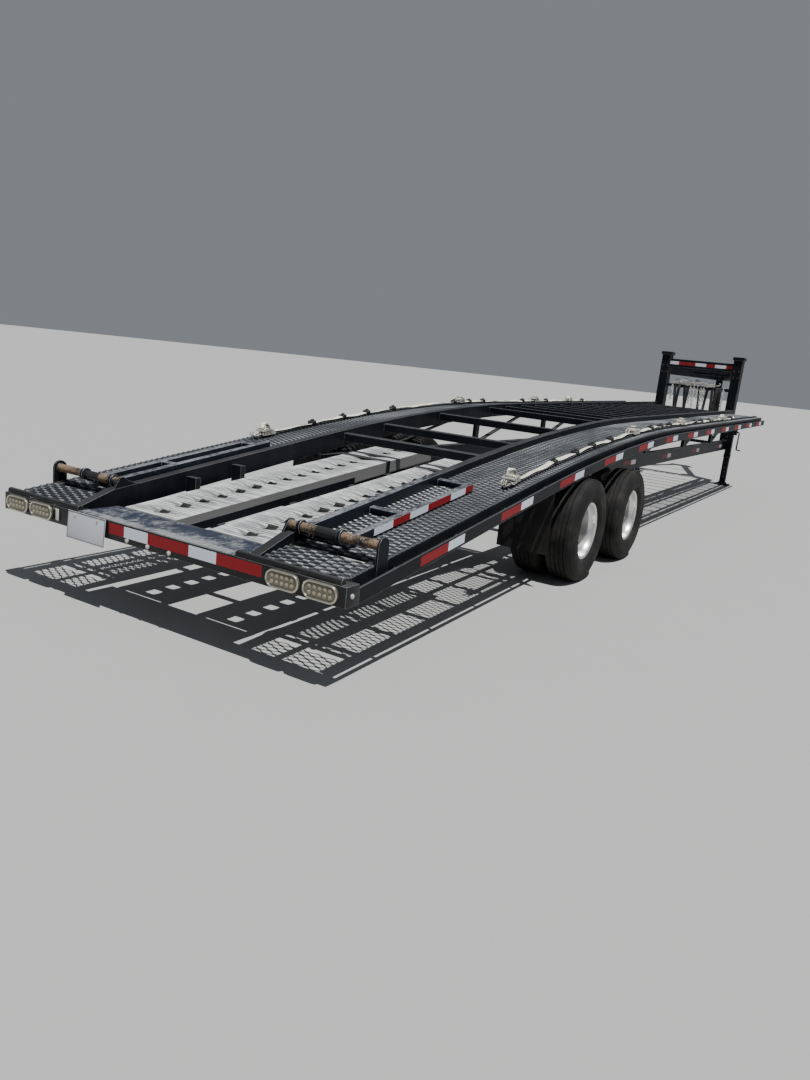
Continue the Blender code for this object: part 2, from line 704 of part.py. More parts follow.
def make_trusses(looks, parent):
    """Main beam under each inner rail, with its posts, diagonals and spring hangers."""
    top = BEAM_BOTTOM + BEAM_DEPTH
    nose_top = rail_bottom(BEAM_START) - SEAT
    half = POST_WIDTH / 2
    inset = 0.004
    for label, side in SIDES:
        bm = bmesh.new()
        end = RISER_STATION - SEAT
        outline = [(BEAM_START, nose_top), (BEAM_START, nose_top - BEAM_TIP),
                   (BEAM_START + BEAM_NOSE, BEAM_BOTTOM), (end, BEAM_BOTTOM), (end, top),
                   (BEAM_START + BEAM_TIP, top)]
        plate_yz(bm, outline, side * BEAM_X, side * (BEAM_X + BEAM_WIDTH))
        truss = finish(f"truss_{label}", bm, looks["frame_paint"], parent)

        bm = bmesh.new()
        low_x, high_x = side * (INNER_RAIL_X + inset), side * (BEAM_X + BEAM_WIDTH - inset)
        for station in POST_STATIONS:
            for lean in (0.0, DIAGONAL_REACH):
                head = station + lean
                outline = [(station - half, top - WELD), (station + half, top - WELD),
                           (head + half, rail_bottom(head + half) - SEAT),
                           (head - half, rail_bottom(head - half) - SEAT)]
                plate_yz(bm, outline, low_x, high_x)
        for station, length in hanger_places():
            add_hanger(bm, side, station, length)
        weld(truss, bm)


def pack_top():
    """Height of the top of a leaf pack over its axle."""
    low = TYRE_RADIUS + AXLE_RADIUS + SEAT + SADDLE_THICK
    return low + LEAF_THICK * len(LEAF_SHARES)


def hanger_places():
    """Station and length of each spring hanger, with the wide equalizer hanger in the middle."""
    stations = [station for _, station in AXLE_STATIONS]
    middle = sum(stations) / len(stations)
    return ((stations[0] - LEAF_REACH, HANGER_LENGTH), (middle, EQUALIZER_LENGTH),
            (stations[-1] + LEAF_REACH, HANGER_LENGTH))


def add_hanger(bm, side, station, length):
    """Spring hanger: a pad over the leaf's end between two cheeks."""
    tip_top = pack_top() + LEAF_CAMBER
    reach = length / 2
    low_x, high_x = side * (SPRING_X - WELD / 2), side * (SPRING_X + SPRING_WIDTH + WELD / 2)
    pad = [(station - reach, BEAM_BOTTOM + WELD), (station - reach, tip_top + SEAT),
           (station + reach, tip_top + SEAT), (station + reach, BEAM_BOTTOM + WELD)]
    plate_yz(bm, pad, low_x, high_x)
    for wall_x in (SPRING_X - HANGER_WALL, SPRING_X + SPRING_WIDTH):
        cheek = [(station - reach, BEAM_BOTTOM + HANGER_LAP), (station - reach * 0.6, tip_top - HANGER_DROP),
                 (station + reach * 0.6, tip_top - HANGER_DROP), (station + reach, BEAM_BOTTOM + HANGER_LAP)]
        plate_yz(bm, cheek, side * wall_x, side * (wall_x + HANGER_WALL))


def make_ramps(looks, parent):
    """Aluminium loading ramps: a punched ribbed skin over two side channels."""
    tilt = math.atan(RAMP_SLOPE)
    for label, side in SIDES:
        centre = side * (RAMP_INNER_X + RAMP_WIDTH / 2)
        half = RAMP_WIDTH / 2
        bm = bmesh.new()
        shell = [(-half, 0.0), (half, 0.0), (half, -RAMP_HEIGHT), (half - RAMP_SKIN, -RAMP_HEIGHT),
                 (half - RAMP_SKIN, -RAMP_SKIN), (-half + RAMP_SKIN, -RAMP_SKIN),
                 (-half + RAMP_SKIN, -RAMP_HEIGHT), (-half, -RAMP_HEIGHT)]
        plate_xz(bm, shell, 0.0, RAMP_LENGTH)
        ramp = finish(f"loading_ramp_{label}", bm, looks["ramp_aluminium"], parent,
                      (centre, RAMP_STATION, RAMP_TOP))
        ramp.rotation_euler = (tilt, 0.0, 0.0)

        bm = bmesh.new()
        for i in range(RAMP_HOLE_COUNT):
            station = RAMP_HOLE_START + RAMP_HOLE_PITCH * i
            block(bm, (-RAMP_HOLE_WIDTH / 2, station, -2 * RAMP_SKIN),
                  (RAMP_HOLE_WIDTH / 2, station + RAMP_HOLE_LENGTH, RAMP_SKIN))
        cut(ramp, bm)


def make_ramp_cradle(looks, parent):
    """Angles that the ramps lie in, the bars under them, their posts, and the hoops over the ramps."""
    start = BUMPER_DEPTH + SEAT
    outer_x = RAMP_INNER_X + RAMP_WIDTH
    reach = outer_x + GUIDE_WALL
    rest_top = -SEAT - GUIDE_WALL / 2
    bm = bmesh.new()
    first = rectangle(-reach, reach, rest_top - GUIDE_REST_HEIGHT, rest_top)
    cradle = None
    for station in GUIDE_REST_STATIONS:
        ends = (station - CROSS_WIDTH / 2, station + CROSS_WIDTH / 2)
        loft(bm, [[(x, y, ramp_bottom(y) + dz) for x, dz in first] for y in ends])
        if cradle is None:
            cradle = finish("ramp_cradle", bm, looks["frame_paint"], parent)
            bm = bmesh.new()
    for _, side in SIDES:
        for edge, way, end in ((RAMP_INNER_X, 1, GUIDE_END), (outer_x, -1, BAND_STATION + BAND_WIDTH)):
            wall_x = edge - way * (GUIDE_WALL + SEAT)
            angle = [(wall_x, GUIDE_RISE), (wall_x, -GUIDE_WALL), (wall_x + way * GUIDE_LEG, -GUIDE_WALL),
                     (wall_x + way * GUIDE_LEG, -SEAT), (edge - way * SEAT, -SEAT), (edge - way * SEAT, GUIDE_RISE)]
            loft(bm, [[(side * x, y, ramp_bottom(y) + dz) for x, dz in angle] for y in (start, end)])
        for station in GUIDE_POST_STATIONS:
            mirror_block(bm, side, reach - GUIDE_WALL / 2, INNER_RAIL_X - SEAT,
                         (station - POST_WIDTH / 3, ramp_bottom(station)),
                         (station + POST_WIDTH / 3, rail_bottom(station) + 2 * GUIDE_RISE))
        add_hoop(bm, side, outer_x)
    weld(cradle, bm)


def add_hoop(bm, side, outer_x):
    """Flat hoop over one stowed ramp, closed under it."""
    gap = 2 * SEAT
    inner, outer = RAMP_INNER_X - gap, outer_x + gap
    over, thick = RAMP_HEIGHT + 2 * gap, BAND_THICK
    hoop = [(inner - thick, -GUIDE_WALL), (outer + thick, -GUIDE_WALL), (outer + thick, over + thick),
            (inner - thick, over + thick)]
    hole = [(inner, -gap), (outer, -gap), (outer, over), (inner, over)]
    loops = []
    for y in (BAND_STATION - BAND_WIDTH / 2, BAND_STATION + BAND_WIDTH / 2):
        low = ramp_bottom(y)
        loops.append([[bm.verts.new((side * x, y, low + dz)) for x, dz in ring] for ring in (hoop, hole)])
    (near_out, near_in), (far_out, far_in) = loops
    for a, b in ((near_out, near_in), (near_in, far_in), (far_in, far_out), (far_out, near_out)):
        for i in range(4):
            j = (i + 1) % 4
            bm.faces.new((a[i], a[j], b[j], b[i]))


def flip_lift(station):
    """Height of a flip ramp's underside over its hinge."""
    return deck_height(station) + RUNNING_GAP - HINGE_HEIGHT


def add_flip_bar(bm, side, x_low, x_high, ends, low, high):
    """Bar of a flip ramp between two heights over its underside, in the frame of its hinge."""
    section = rectangle(x_low, x_high, low, high)
    loft(bm, [[(side * x, y - HINGE_STATION, flip_lift(y) + dz) for x, dz in section] for y in ends])


def make_flip_ramps(looks, parent):
    """Ladder frames with a mesh sheet along their underside, whose lugs turn on the hinge pipes."""
    outer = FLIP_X + FLIP_WIDTH
    reach = FLIP_START + WELD - HINGE_STATION
    foot = flip_lift(FLIP_START)
    lug = [(reach, foot + WELD), (reach, foot + FLIP_BAR)] + arc((0.0, 0.0), LUG_RADIUS, 45, 270, 8)
    rungs = (FLIP_START + FLIP_STEP, FLIP_MIDDLE, FLIP_END - FLIP_BAR - FLIP_STEP)
    inside, outside = FLIP_X + FLIP_BAR - WELD, outer - FLIP_BAR + WELD
    for label, side in SIDES:
        bm = bmesh.new()
        add_flip_bar(bm, side, FLIP_X, FLIP_X + FLIP_BAR, (FLIP_START, FLIP_END), 0.0, FLIP_GUIDE_HEIGHT)
        flip = finish(f"flip_ramp_{label}", bm, looks["frame_paint"], parent, (0.0, HINGE_STATION, HINGE_HEIGHT))

        bm = bmesh.new()
        add_flip_bar(bm, side, outer - FLIP_BAR, outer, (FLIP_START, FLIP_END), 0.0, FLIP_BAR)
        for station in rungs:
            add_flip_bar(bm, side, inside, outside, (station, station + FLIP_BAR),
                         FLIP_STEP, FLIP_BAR - FLIP_STEP)
        add_flip_bar(bm, side, inside, outside, (rungs[0] + WELD, rungs[-1] + WELD),
                     2 * FLIP_STEP, 2 * FLIP_STEP + MESH_THICK)
        for x in (FLIP_X + FLIP_STEP, outer - LUG_THICK - FLIP_STEP):
            plate_yz(bm, lug, side * x, side * (x + LUG_THICK))
        weld(flip, bm)

        bm = bmesh.new()
        rod(bm, (side * (FLIP_X - LUG_THICK), 0.0, 0.0), (side * (outer + LUG_THICK), 0.0, 0.0),
            HINGE_RADIUS + PIN_GAP, 16)
        for near, far in zip(rungs, rungs[1:]):
            for start, end in split(near + FLIP_BAR + MESH_EDGE, far - MESH_EDGE, FLIP_HOLE_COUNT, MESH_RIB):
                add_flip_bar(bm, side, inside + WELD + MESH_EDGE, outside - WELD - MESH_EDGE, (start, end),
                             -FLIP_STEP, FLIP_BAR)
        cut(flip, bm)


def tyre_outline(centre):
    """Outline of one tyre about its own middle plane, seated on the rim."""
    seat = RIM_WIDTH / 2
    half = TYRE_WIDTH / 2
    # half width, radius
    side = [(seat - RIM_FLANGE - SEAT, RIM_RADIUS + SEAT), (seat + SEAT, RIM_RADIUS + RIM_FLANGE + 3 * SEAT),
            (half - 0.005, 0.268), (half, 0.310), (half - 0.014, 0.368), (TREAD_WIDTH / 2, TYRE_RADIUS)]
    return [(centre + a, r) for a, r in side] + [(centre - a, r) for a, r in reversed(side)]


def wheel_outline():
    """Outline of a dual set's hub, drum and two rims whose discs meet on its middle plane."""
    lip = DUAL_SPACING / 2 + RIM_WIDTH / 2
    back = DUAL_SPACING / 2 - RIM_WIDTH / 2
    barrel = RIM_RADIUS - RIM_WALL
    bore = SPINDLE_RADIUS + PIN_GAP
    bore_end = SPINDLE_END + RUNNING_GAP
    # along the axle, radius
    cap = [(HUB_LENGTH, 0.0), (HUB_LENGTH - 0.008, HUB_RADIUS - 0.013), (HUB_FACE, HUB_RADIUS)]
    dish = [(DISC_THICK, HUB_RADIUS + 0.020), (DISC_THICK, DISC_RADIUS), (back + 0.002, barrel - 0.006),
            (lip - 0.012, barrel)]
    rim = [(lip, RIM_RADIUS + RIM_FLANGE), (lip - RIM_FLANGE, RIM_RADIUS),
           (back + RIM_FLANGE, RIM_RADIUS), (back, RIM_RADIUS + RIM_FLANGE)]
    waist = [(0.0, DISC_RADIUS + 0.017)]
    inner_rim = [(-a, r) for a, r in reversed(rim)]
    inner_dish = [(-a, r) for a, r in reversed(dish[2:])]
    drum = [(-DRUM_GAP, DRUM_RADIUS), (-DRUM_DEPTH, DRUM_RADIUS), (-DRUM_DEPTH, bore), (bore_end, bore),
            (bore_end, 0.0)]
    return cap + dish + rim + waist + inner_rim + inner_dish + drum


def make_wheels(looks, parent):
    """Four dual wheel sets, each on its own empty at the end of an axle."""
    for axle, station in AXLE_STATIONS:
        for label, side in SIDES:
            centre = bpy.data.objects.new(f"wheel_centre_{axle}_{label}", None)
            bpy.context.scene.collection.objects.link(centre)
            centre.parent = parent
            centre.location = (side * TRACK_X, station, TYRE_RADIUS)
            bm = bmesh.new()
            revolve(bm, [(side * a, r) for a, r in wheel_outline()], closed=False)
            smooth(finish(f"wheel_{axle}_{label}", bm, looks["wheel_silver"], centre))
            for place, offset in (("inner", -DUAL_SPACING / 2), ("outer", DUAL_SPACING / 2)):
                bm = bmesh.new()
                revolve(bm, tyre_outline(side * offset))
                smooth(finish(f"tyre_{axle}_{label}_{place}", bm, looks["tyre_rubber"], centre))


def make_axles(looks, parent):
    """Axle tubes with their brake backing plates and spindles."""
    spindle_tip = TRACK_X + SPINDLE_END
    half = [(spindle_tip, 0.0), (spindle_tip, SPINDLE_RADIUS), (AXLE_END + BACKING_THICK, SPINDLE_RADIUS),
            (AXLE_END + BACKING_THICK, BACKING_RADIUS), (AXLE_END, BACKING_RADIUS), (AXLE_END, AXLE_RADIUS)]
    outline = half + [(-x, r) for x, r in reversed(half)]
    for axle, station in AXLE_STATIONS:
        bm = bmesh.new()
        revolve(bm, outline, closed=False, segments=AXLE_SEGMENTS)
        smooth(finish(f"axle_{axle}", bm, looks["running_gear"], parent, (0.0, station, TYRE_RADIUS)))


def add_leaf(bm, low_x, high_x, share, top):
    """One leaf, curved up towards its ends, with its top at the given height over the axle."""
    reach = LEAF_REACH * share
    rings = []
    for i in range(LEAF_STEPS + 1):
        offset = reach * (2 * i / LEAF_STEPS - 1)
        height = top + LEAF_CAMBER * (offset / LEAF_REACH) ** 2
        section = rectangle(low_x, high_x, height - LEAF_THICK, height)
        rings.append([(x, offset, z) for x, z in section])
    loft(bm, rings)


def make_springs(looks, parent):
    """Leaf packs clamped over the axles on their saddles."""
    inset = 2 * SEAT
    for axle, station in AXLE_STATIONS:
        for label, side in SIDES:
            low_x, high_x = side * (SPRING_X + inset), side * (SPRING_X + SPRING_WIDTH - inset)
            bm = bmesh.new()
            add_leaf(bm, low_x, high_x, LEAF_SHARES[0], pack_top() - TYRE_RADIUS)
            spring = finish(f"spring_{axle}_{label}", bm, looks["running_gear"], parent,
                            (0.0, station, TYRE_RADIUS))
            bm = bmesh.new()
            for i, share in enumerate(LEAF_SHARES[1:], 1):
                add_leaf(bm, low_x, high_x, share, pack_top() - TYRE_RADIUS - i * (LEAF_THICK - SEAT))
            saddle_low = AXLE_RADIUS + SEAT
            block(bm, (min(low_x, high_x), -SADDLE_LENGTH / 2, saddle_low),
                  (max(low_x, high_x), SADDLE_LENGTH / 2, saddle_low + SADDLE_THICK + LEAF_THICK / 2))
            weld(spring, bm)


def make_mud_flaps(looks, parent):
    """Rubber flaps behind the rear wheels, hung under the channels."""
    for label, side in SIDES:
        bm = bmesh.new()
        top = deck_height(FLAP_STATION) - MESH_THICK - OUTER_RAIL_HEIGHT - 2 * SEAT
        mirror_block(bm, side, FLAP_OUTER_X - FLAP_WIDTH, FLAP_OUTER_X, (FLAP_STATION, FLAP_BOTTOM),
                     (FLAP_STATION + FLAP_THICK, top))
        finish(f"mud_flap_{label}", bm, looks["flap_rubber"], parent)


def make_neck_portal(looks, parent):
    """Two risers with their caps and the bars between them."""
    half = RISER_WIDTH / 2
    back, front = RISER_STATION, RISER_STATION + RISER_DEPTH
    bm = bmesh.new()
    bar_back = back + 0.02
    inner = RISER_X - half + WELD
    block(bm, (-inner, bar_back, TOP_BAR_BOTTOM),
          (inner, bar_back + TOP_BAR_DEPTH, TOP_BAR_BOTTOM + TOP_BAR_HEIGHT))
    portal = finish("neck_portal", bm, looks["frame_paint"], parent)

    bm = bmesh.new()
    for _, side in SIDES:
        mirror_block(bm, side, RISER_X - half, RISER_X + half, (back, BEAM_BOTTOM), (front, RISER_TOP))
        mirror_block(bm, side, RISER_X - half - CAP_RIM, RISER_X + half + CAP_RIM,
                     (back - CAP_RIM, RISER_TOP - WELD), (front + CAP_RIM, RISER_TOP + CAP_HEIGHT))
    for height in (RACK_BAR_HEIGHT, BEAM_BOTTOM + CAP_HEIGHT):
        block(bm, (-inner, bar_back, height), (inner, bar_back + RACK_BAR_SIZE, height + RACK_BAR_SIZE))
    weld(portal, bm)


def make_neck_beams(looks, parent):
    """Two beams that close in from the risers to the nose box, with a brace between them."""
    front = RISER_STATION + RISER_DEPTH + SEAT
    bm = bmesh.new()
    block(bm, (-NOSE_HALF_WIDTH, NOSE_STATION, NECK_BOTTOM),
          (NOSE_HALF_WIDTH, FRONT_END, NECK_BOTTOM + NECK_DEPTH))
    neck = finish("neck_beams", bm, looks["frame_paint"], parent)

    bm = bmesh.new()
    nose_x = NOSE_HALF_WIDTH - NECK_WIDTH / 2
    inset = WELD / 2
    for _, side in SIDES:
        rings = []
        for station, x in ((front, RISER_X), (NOSE_STATION + WELD, nose_x)):
            section = rectangle(side * (x - NECK_WIDTH / 2 + inset), side * (x + NECK_WIDTH / 2 - inset),
                                NECK_BOTTOM + inset, NECK_BOTTOM + NECK_DEPTH - inset)
            rings.append([(px, station, pz) for px, pz in section])
        loft(bm, rings)
    middle = (front + NOSE_STATION) / 2
    brace_x = (RISER_X + nose_x) / 2
    block(bm, (-brace_x, middle - CROSS_WIDTH / 2, NECK_BOTTOM + NECK_DEPTH / 3),
          (brace_x, middle + CROSS_WIDTH / 2, NECK_BOTTOM + NECK_DEPTH * 2 / 3))
    weld(neck, bm)


def make_coupler(looks, parent):
    """Coupler tube under the nose with an open socket for the ball."""
    bm = bmesh.new()
    rod(bm, (0.0, COUPLER_STATION, COUPLER_BOTTOM + WELD), (0.0, COUPLER_STATION, NECK_BOTTOM - SEAT),
        COUPLER_RADIUS, 16)
    coupler = finish("coupler", bm, looks["frame_paint"], parent)
    bm = bmesh.new()
    rod(bm, (0.0, COUPLER_STATION, COUPLER_BOTTOM), (0.0, COUPLER_STATION, COUPLER_BOTTOM + COUPLER_COLLAR),
        COUPLER_RADIUS + COUPLER_WALL, 16)
    weld(coupler, bm)
    bm = bmesh.new()
    rod(bm, (0.0, COUPLER_STATION, COUPLER_BOTTOM - WELD), (0.0, COUPLER_STATION, COUPLER_BOTTOM + SOCKET_DEPTH),
        SOCKET_RADIUS, 16)
    cut(smooth(coupler), bm)


def make_legs(looks, parent):
    """Front jack legs with their foot pads and the brackets to the main beams."""
    half = LEG_SIZE / 2
    foot = FOOT_SIZE / 2
    top = deck_height(LEG_STATION) - OUTER_RAIL_HEIGHT
    for label, side in SIDES:
        bm = bmesh.new()
        mirror_block(bm, side, LEG_X - half, LEG_X + half, (LEG_STATION - half, FOOT_THICK - WELD),
                     (LEG_STATION + half, top))
        leg = finish(f"front_leg_{label}", bm, looks["frame_paint"], parent)
        bm = bmesh.new()
        mirror_block(bm, side, LEG_X - foot, LEG_X + foot, (LEG_STATION - foot, 0.0),
                     (LEG_STATION + foot, FOOT_THICK))
        mirror_block(bm, side, BEAM_X + BEAM_WIDTH + SEAT, LEG_X - half + WELD,
                     (LEG_STATION - half + WELD, BEAM_BOTTOM + WELD),
                     (LEG_STATION + half - WELD, BEAM_BOTTOM + BEAM_DEPTH - WELD))
        weld(leg, bm)


def build():
    """Clear the scene and make the whole trailer."""
    for item in list(bpy.data.objects):
        bpy.data.objects.remove(item, do_unlink=True)
    looks = make_materials()
    trailer = bpy.data.objects.new("trailer_middle", None)
    bpy.context.scene.collection.objects.link(trailer)
    trailer.location = (0.0, -MIDDLE, 0.0)
    makers = (make_bumper, make_number_plate, make_tail_plate, make_centre_frame, make_track_frames,
              make_rub_rails, make_deck_mesh, make_strap_rails, make_straps, make_hinges, make_trusses,
              make_ramps, make_ramp_cradle, make_flip_ramps, make_wheels, make_axles, make_springs,
              make_mud_flaps, make_neck_portal, make_neck_beams, make_coupler, make_legs)
    for make in makers:
        make(looks, trailer)


build()
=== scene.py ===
"""Dresses a gooseneck car-hauling trailer for its portrait.

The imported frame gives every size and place. This script adds the raised expanded mesh of the tracks, ribbed
tyres, dished wheels, punched ramps, lamps, reflective strips, webbing with its ratchets and the gear that
hangs in the front rack, and gives every surface its finish.
"""
from __future__ import annotations

import json
import logging
import math
from dataclasses import dataclass, field
from enum import Enum
from typing import Callable, Iterable, Sequence

import bmesh
import bpy
import numpy as np
from mathutils import Matrix, Vector

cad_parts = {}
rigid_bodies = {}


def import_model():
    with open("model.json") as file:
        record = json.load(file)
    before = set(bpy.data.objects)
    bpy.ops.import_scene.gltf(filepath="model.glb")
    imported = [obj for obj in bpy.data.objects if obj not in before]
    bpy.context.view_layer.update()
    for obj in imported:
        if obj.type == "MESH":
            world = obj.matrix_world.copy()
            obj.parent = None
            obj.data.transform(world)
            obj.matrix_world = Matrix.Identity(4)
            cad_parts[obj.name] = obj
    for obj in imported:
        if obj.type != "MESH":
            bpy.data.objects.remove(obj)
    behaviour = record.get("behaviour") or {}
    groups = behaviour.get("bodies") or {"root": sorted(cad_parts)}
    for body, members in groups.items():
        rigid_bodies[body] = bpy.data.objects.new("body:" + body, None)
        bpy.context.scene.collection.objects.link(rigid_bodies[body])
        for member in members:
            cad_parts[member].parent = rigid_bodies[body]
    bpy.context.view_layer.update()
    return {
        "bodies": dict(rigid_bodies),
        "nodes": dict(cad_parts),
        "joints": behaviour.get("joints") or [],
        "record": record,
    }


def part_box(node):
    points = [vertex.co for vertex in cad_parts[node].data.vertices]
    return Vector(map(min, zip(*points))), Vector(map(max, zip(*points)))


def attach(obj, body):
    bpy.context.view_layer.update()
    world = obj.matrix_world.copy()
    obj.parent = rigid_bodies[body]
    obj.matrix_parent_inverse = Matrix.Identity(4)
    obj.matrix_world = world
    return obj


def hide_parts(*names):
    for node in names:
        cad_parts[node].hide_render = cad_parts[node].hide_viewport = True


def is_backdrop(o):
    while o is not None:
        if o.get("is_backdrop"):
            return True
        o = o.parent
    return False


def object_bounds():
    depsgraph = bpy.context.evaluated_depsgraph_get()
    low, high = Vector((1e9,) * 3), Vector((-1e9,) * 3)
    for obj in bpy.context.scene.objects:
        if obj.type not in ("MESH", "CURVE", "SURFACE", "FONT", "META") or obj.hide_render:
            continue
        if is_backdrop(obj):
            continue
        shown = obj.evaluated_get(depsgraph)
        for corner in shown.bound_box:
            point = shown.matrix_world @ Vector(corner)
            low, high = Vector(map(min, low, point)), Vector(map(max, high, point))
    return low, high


LOG = logging.getLogger("trailer")
SIDES = (("right", 1), ("left", -1))
AXLES = ("rear", "front")
# Attribute of painted light. On the mesh strands it is 1 on the raised side of each bond and at the strands' ends,
# where tyres rub the paint to bare metal and where a painted highlight stands in for the strands' glint. On the ramp
# skin it grows where the skin lies low, in the rib valleys and dents, and darkens them as painted shade
WEAR_GLINT_SHADE = "rub"
Point = Sequence[float]
Colour = tuple[float, float, float]
Span = tuple[float, float]
Outline = list[Span]
Placer = Callable[[float], float]
Vert = bmesh.types.BMVert
Mesh = bpy.types.Mesh
Material = bpy.types.Material
Spots = dict[str, Vector]


class Tone:
    """One output of a shader graph that can be used like a number."""

    def __init__(self, graph: "Graph", socket: bpy.types.NodeSocket) -> None:
        """Keep the graph and the output that gives the value."""
        self.graph = graph
        self.socket = socket

    def _math(self, operation: str, first: "Tone | float", second: "Tone | float") -> "Tone":
        """Result of a Math node on two values."""
        return self.graph.add("ShaderNodeMath", {"operation": operation}, {0: first, 1: second})

    def __add__(self, other: "Tone | float") -> "Tone":
        """Sum of two tones."""
        return self._math("ADD", self, other)

    __radd__ = __add__

    def __sub__(self, other: "Tone | float") -> "Tone":
        """Difference of two tones."""
        return self._math("SUBTRACT", self, other)

    def __rsub__(self, other: "Tone | float") -> "Tone":
        """Difference with the number first."""
        return self._math("SUBTRACT", other, self)

    def __mul__(self, other: "Tone | float") -> "Tone":
        """Product of two tones."""
        return self._math("MULTIPLY", self, other)

    __rmul__ = __mul__

    def sine(self) -> "Tone":
        """Sine of the tone."""
        return self._math("SINE", self, 0.0)

    def size(self) -> "Tone":
        """The tone without its sign."""
        return self._math("ABSOLUTE", self, 0.0)

    def step(self, low: float, high: float) -> "Tone":
        """Smooth step from 0 at the low value to 1 at the high one."""
        settings = {"interpolation_type": "SMOOTHSTEP"}
        return self.graph.add("ShaderNodeMapRange", settings, {0: self, 1: low, 2: high, 3: 0.0, 4: 1.0})


class Graph:
    """Shader graph of one material, built from Python expressions."""

    def __init__(self, name: str) -> None:
        """Start an empty material.

        Args:
            name: The material's name.
        """
        self.material = bpy.data.materials.new(name)
        self.material.use_nodes = True
        self.tree = self.material.node_tree
        self.shader = self.tree.nodes["Principled BSDF"]

    def add(self, kind: str, settings: dict[str, object] | None = None,
            values: dict[int | str, object] | None = None, out: int | str = 0) -> Tone:
        """Add a node.

        Args:
            kind: The node's type.
            settings: Its settings, set first; "stops" holds the stops of a ramp.
            values: Values or tones for its inputs, by index or name.
            out: The output to use.

        Returns:
            The chosen output.
        """
        node = self.tree.nodes.new(kind)
        for key, value in (settings or {}).items():
            if key == "stops":
                self._set_stops(node.color_ramp, value)
            else:
                setattr(node, key, value)
        for key, value in (values or {}).items():
            self._feed(node.inputs[key], value)
        return Tone(self, node.outputs[out])

    def _feed(self, socket: bpy.types.NodeSocket, value: object) -> None:
        """Link or set one input."""
        if isinstance(value, Tone):
            self.tree.links.new(value.socket, socket)
        else:
            socket.default_value = value

    @staticmethod
    def _set_stops(ramp: bpy.types.ColorRamp, stops: Sequence[tuple[float, Point]]) -> None:
        """Give a ramp its stops of (place, colour)."""
        while len(ramp.elements) < len(stops):
            ramp.elements.new(0.5)
        for element, (place, colour) in zip(ramp.elements, stops):
            element.position = place
            element.color = (*colour, 1.0)

    def place(self, stretch: Point = (1.0, 1.0, 1.0)) -> Tone:
        """Object coordinates, stretched."""
        spot = self.add("ShaderNodeTexCoord", out="Object")
        return self.add("ShaderNodeMapping", None, {"Vector": spot, "Scale": stretch})

    def axis(self, index: int) -> Tone:
        """One object coordinate, 0 to 2 for X to Z."""
        spot = self.add("ShaderNodeTexCoord", out="Object")
        return self.add("ShaderNodeSeparateXYZ", None, {0: spot}, index)

    def noise(self, scale: float, detail: float = 3.0, stretch: Point = (1.0, 1.0, 1.0),
              rough: float = 0.55) -> Tone:
        """Noise on stretched object coordinates, about 0.5 in the middle, with so many cells in a metre."""
        values = {"Vector": self.place(stretch), "Scale": scale, "Detail": detail, "Roughness": rough}
        return self.add("ShaderNodeTexNoise", None, values, "Fac")

    def facing_up(self) -> Tone:
        """How far the surface faces up, -1 to 1."""
        normal = self.add("ShaderNodeNewGeometry", out="Normal")
        return self.add("ShaderNodeSeparateXYZ", None, {0: normal}, 2)

    def rounded(self, radius: float) -> Tone:
        """Normal of the surface with its edges rounded."""
        return self.add("ShaderNodeBevel", {"samples": 4}, {"Radius": radius})

    def edges(self, radius: float) -> Tone:
        """Mask of the sharp edges, 1 on the edge itself.

        Args:
            radius: How far the mask reaches from an edge, in metres.

        Returns:
            The mask.
        """
        flat = self.add("ShaderNodeNewGeometry", out="Normal")
        values = {0: flat, 1: self.rounded(radius)}
        likeness = self.add("ShaderNodeVectorMath", {"operation": "DOT_PRODUCT"}, values, "Value")
        return (1.0 - likeness).step(0.01, 0.16)

    def blend(self, share: Tone, first: object, second: object) -> Tone:
        """Mix of two colours, each a tone or three numbers, by the share of the second."""
        pair = [value if isinstance(value, Tone) else (*value, 1.0) for value in (first, second)]
        return self.add("ShaderNodeMix", {"data_type": "RGBA"}, {0: share, 6: pair[0], 7: pair[1]}, 2)

    def bump(self, height: Tone, distance: float, base: Tone | None = None, strength: float = 1.0) -> Tone:
        """Bumped normal.

        Args:
            height: Height of the surface, 0 to 1.
            distance: Real height of 1, in metres.
            base: The normal that it starts from.
            strength: Strength of the bump.

        Returns:
            The normal.
        """
        values: dict[int | str, object] = {"Height": height, "Distance": distance, "Strength": strength}
        if base is not None:
            values["Normal"] = base
        return self.add("ShaderNodeBump", None, values)

    def surface(self, **values: object) -> Material:
        """Feed the shader.

        Args:
            values: Its inputs by name, with _ for a space.

        Returns:
            The finished material.
        """
        for key, value in values.items():
            if isinstance(value, tuple) and len(value) == 3:
                value = (*value, 1.0)
            self._feed(self.shader.inputs[key.replace("_", " ")], value)
        return self.material


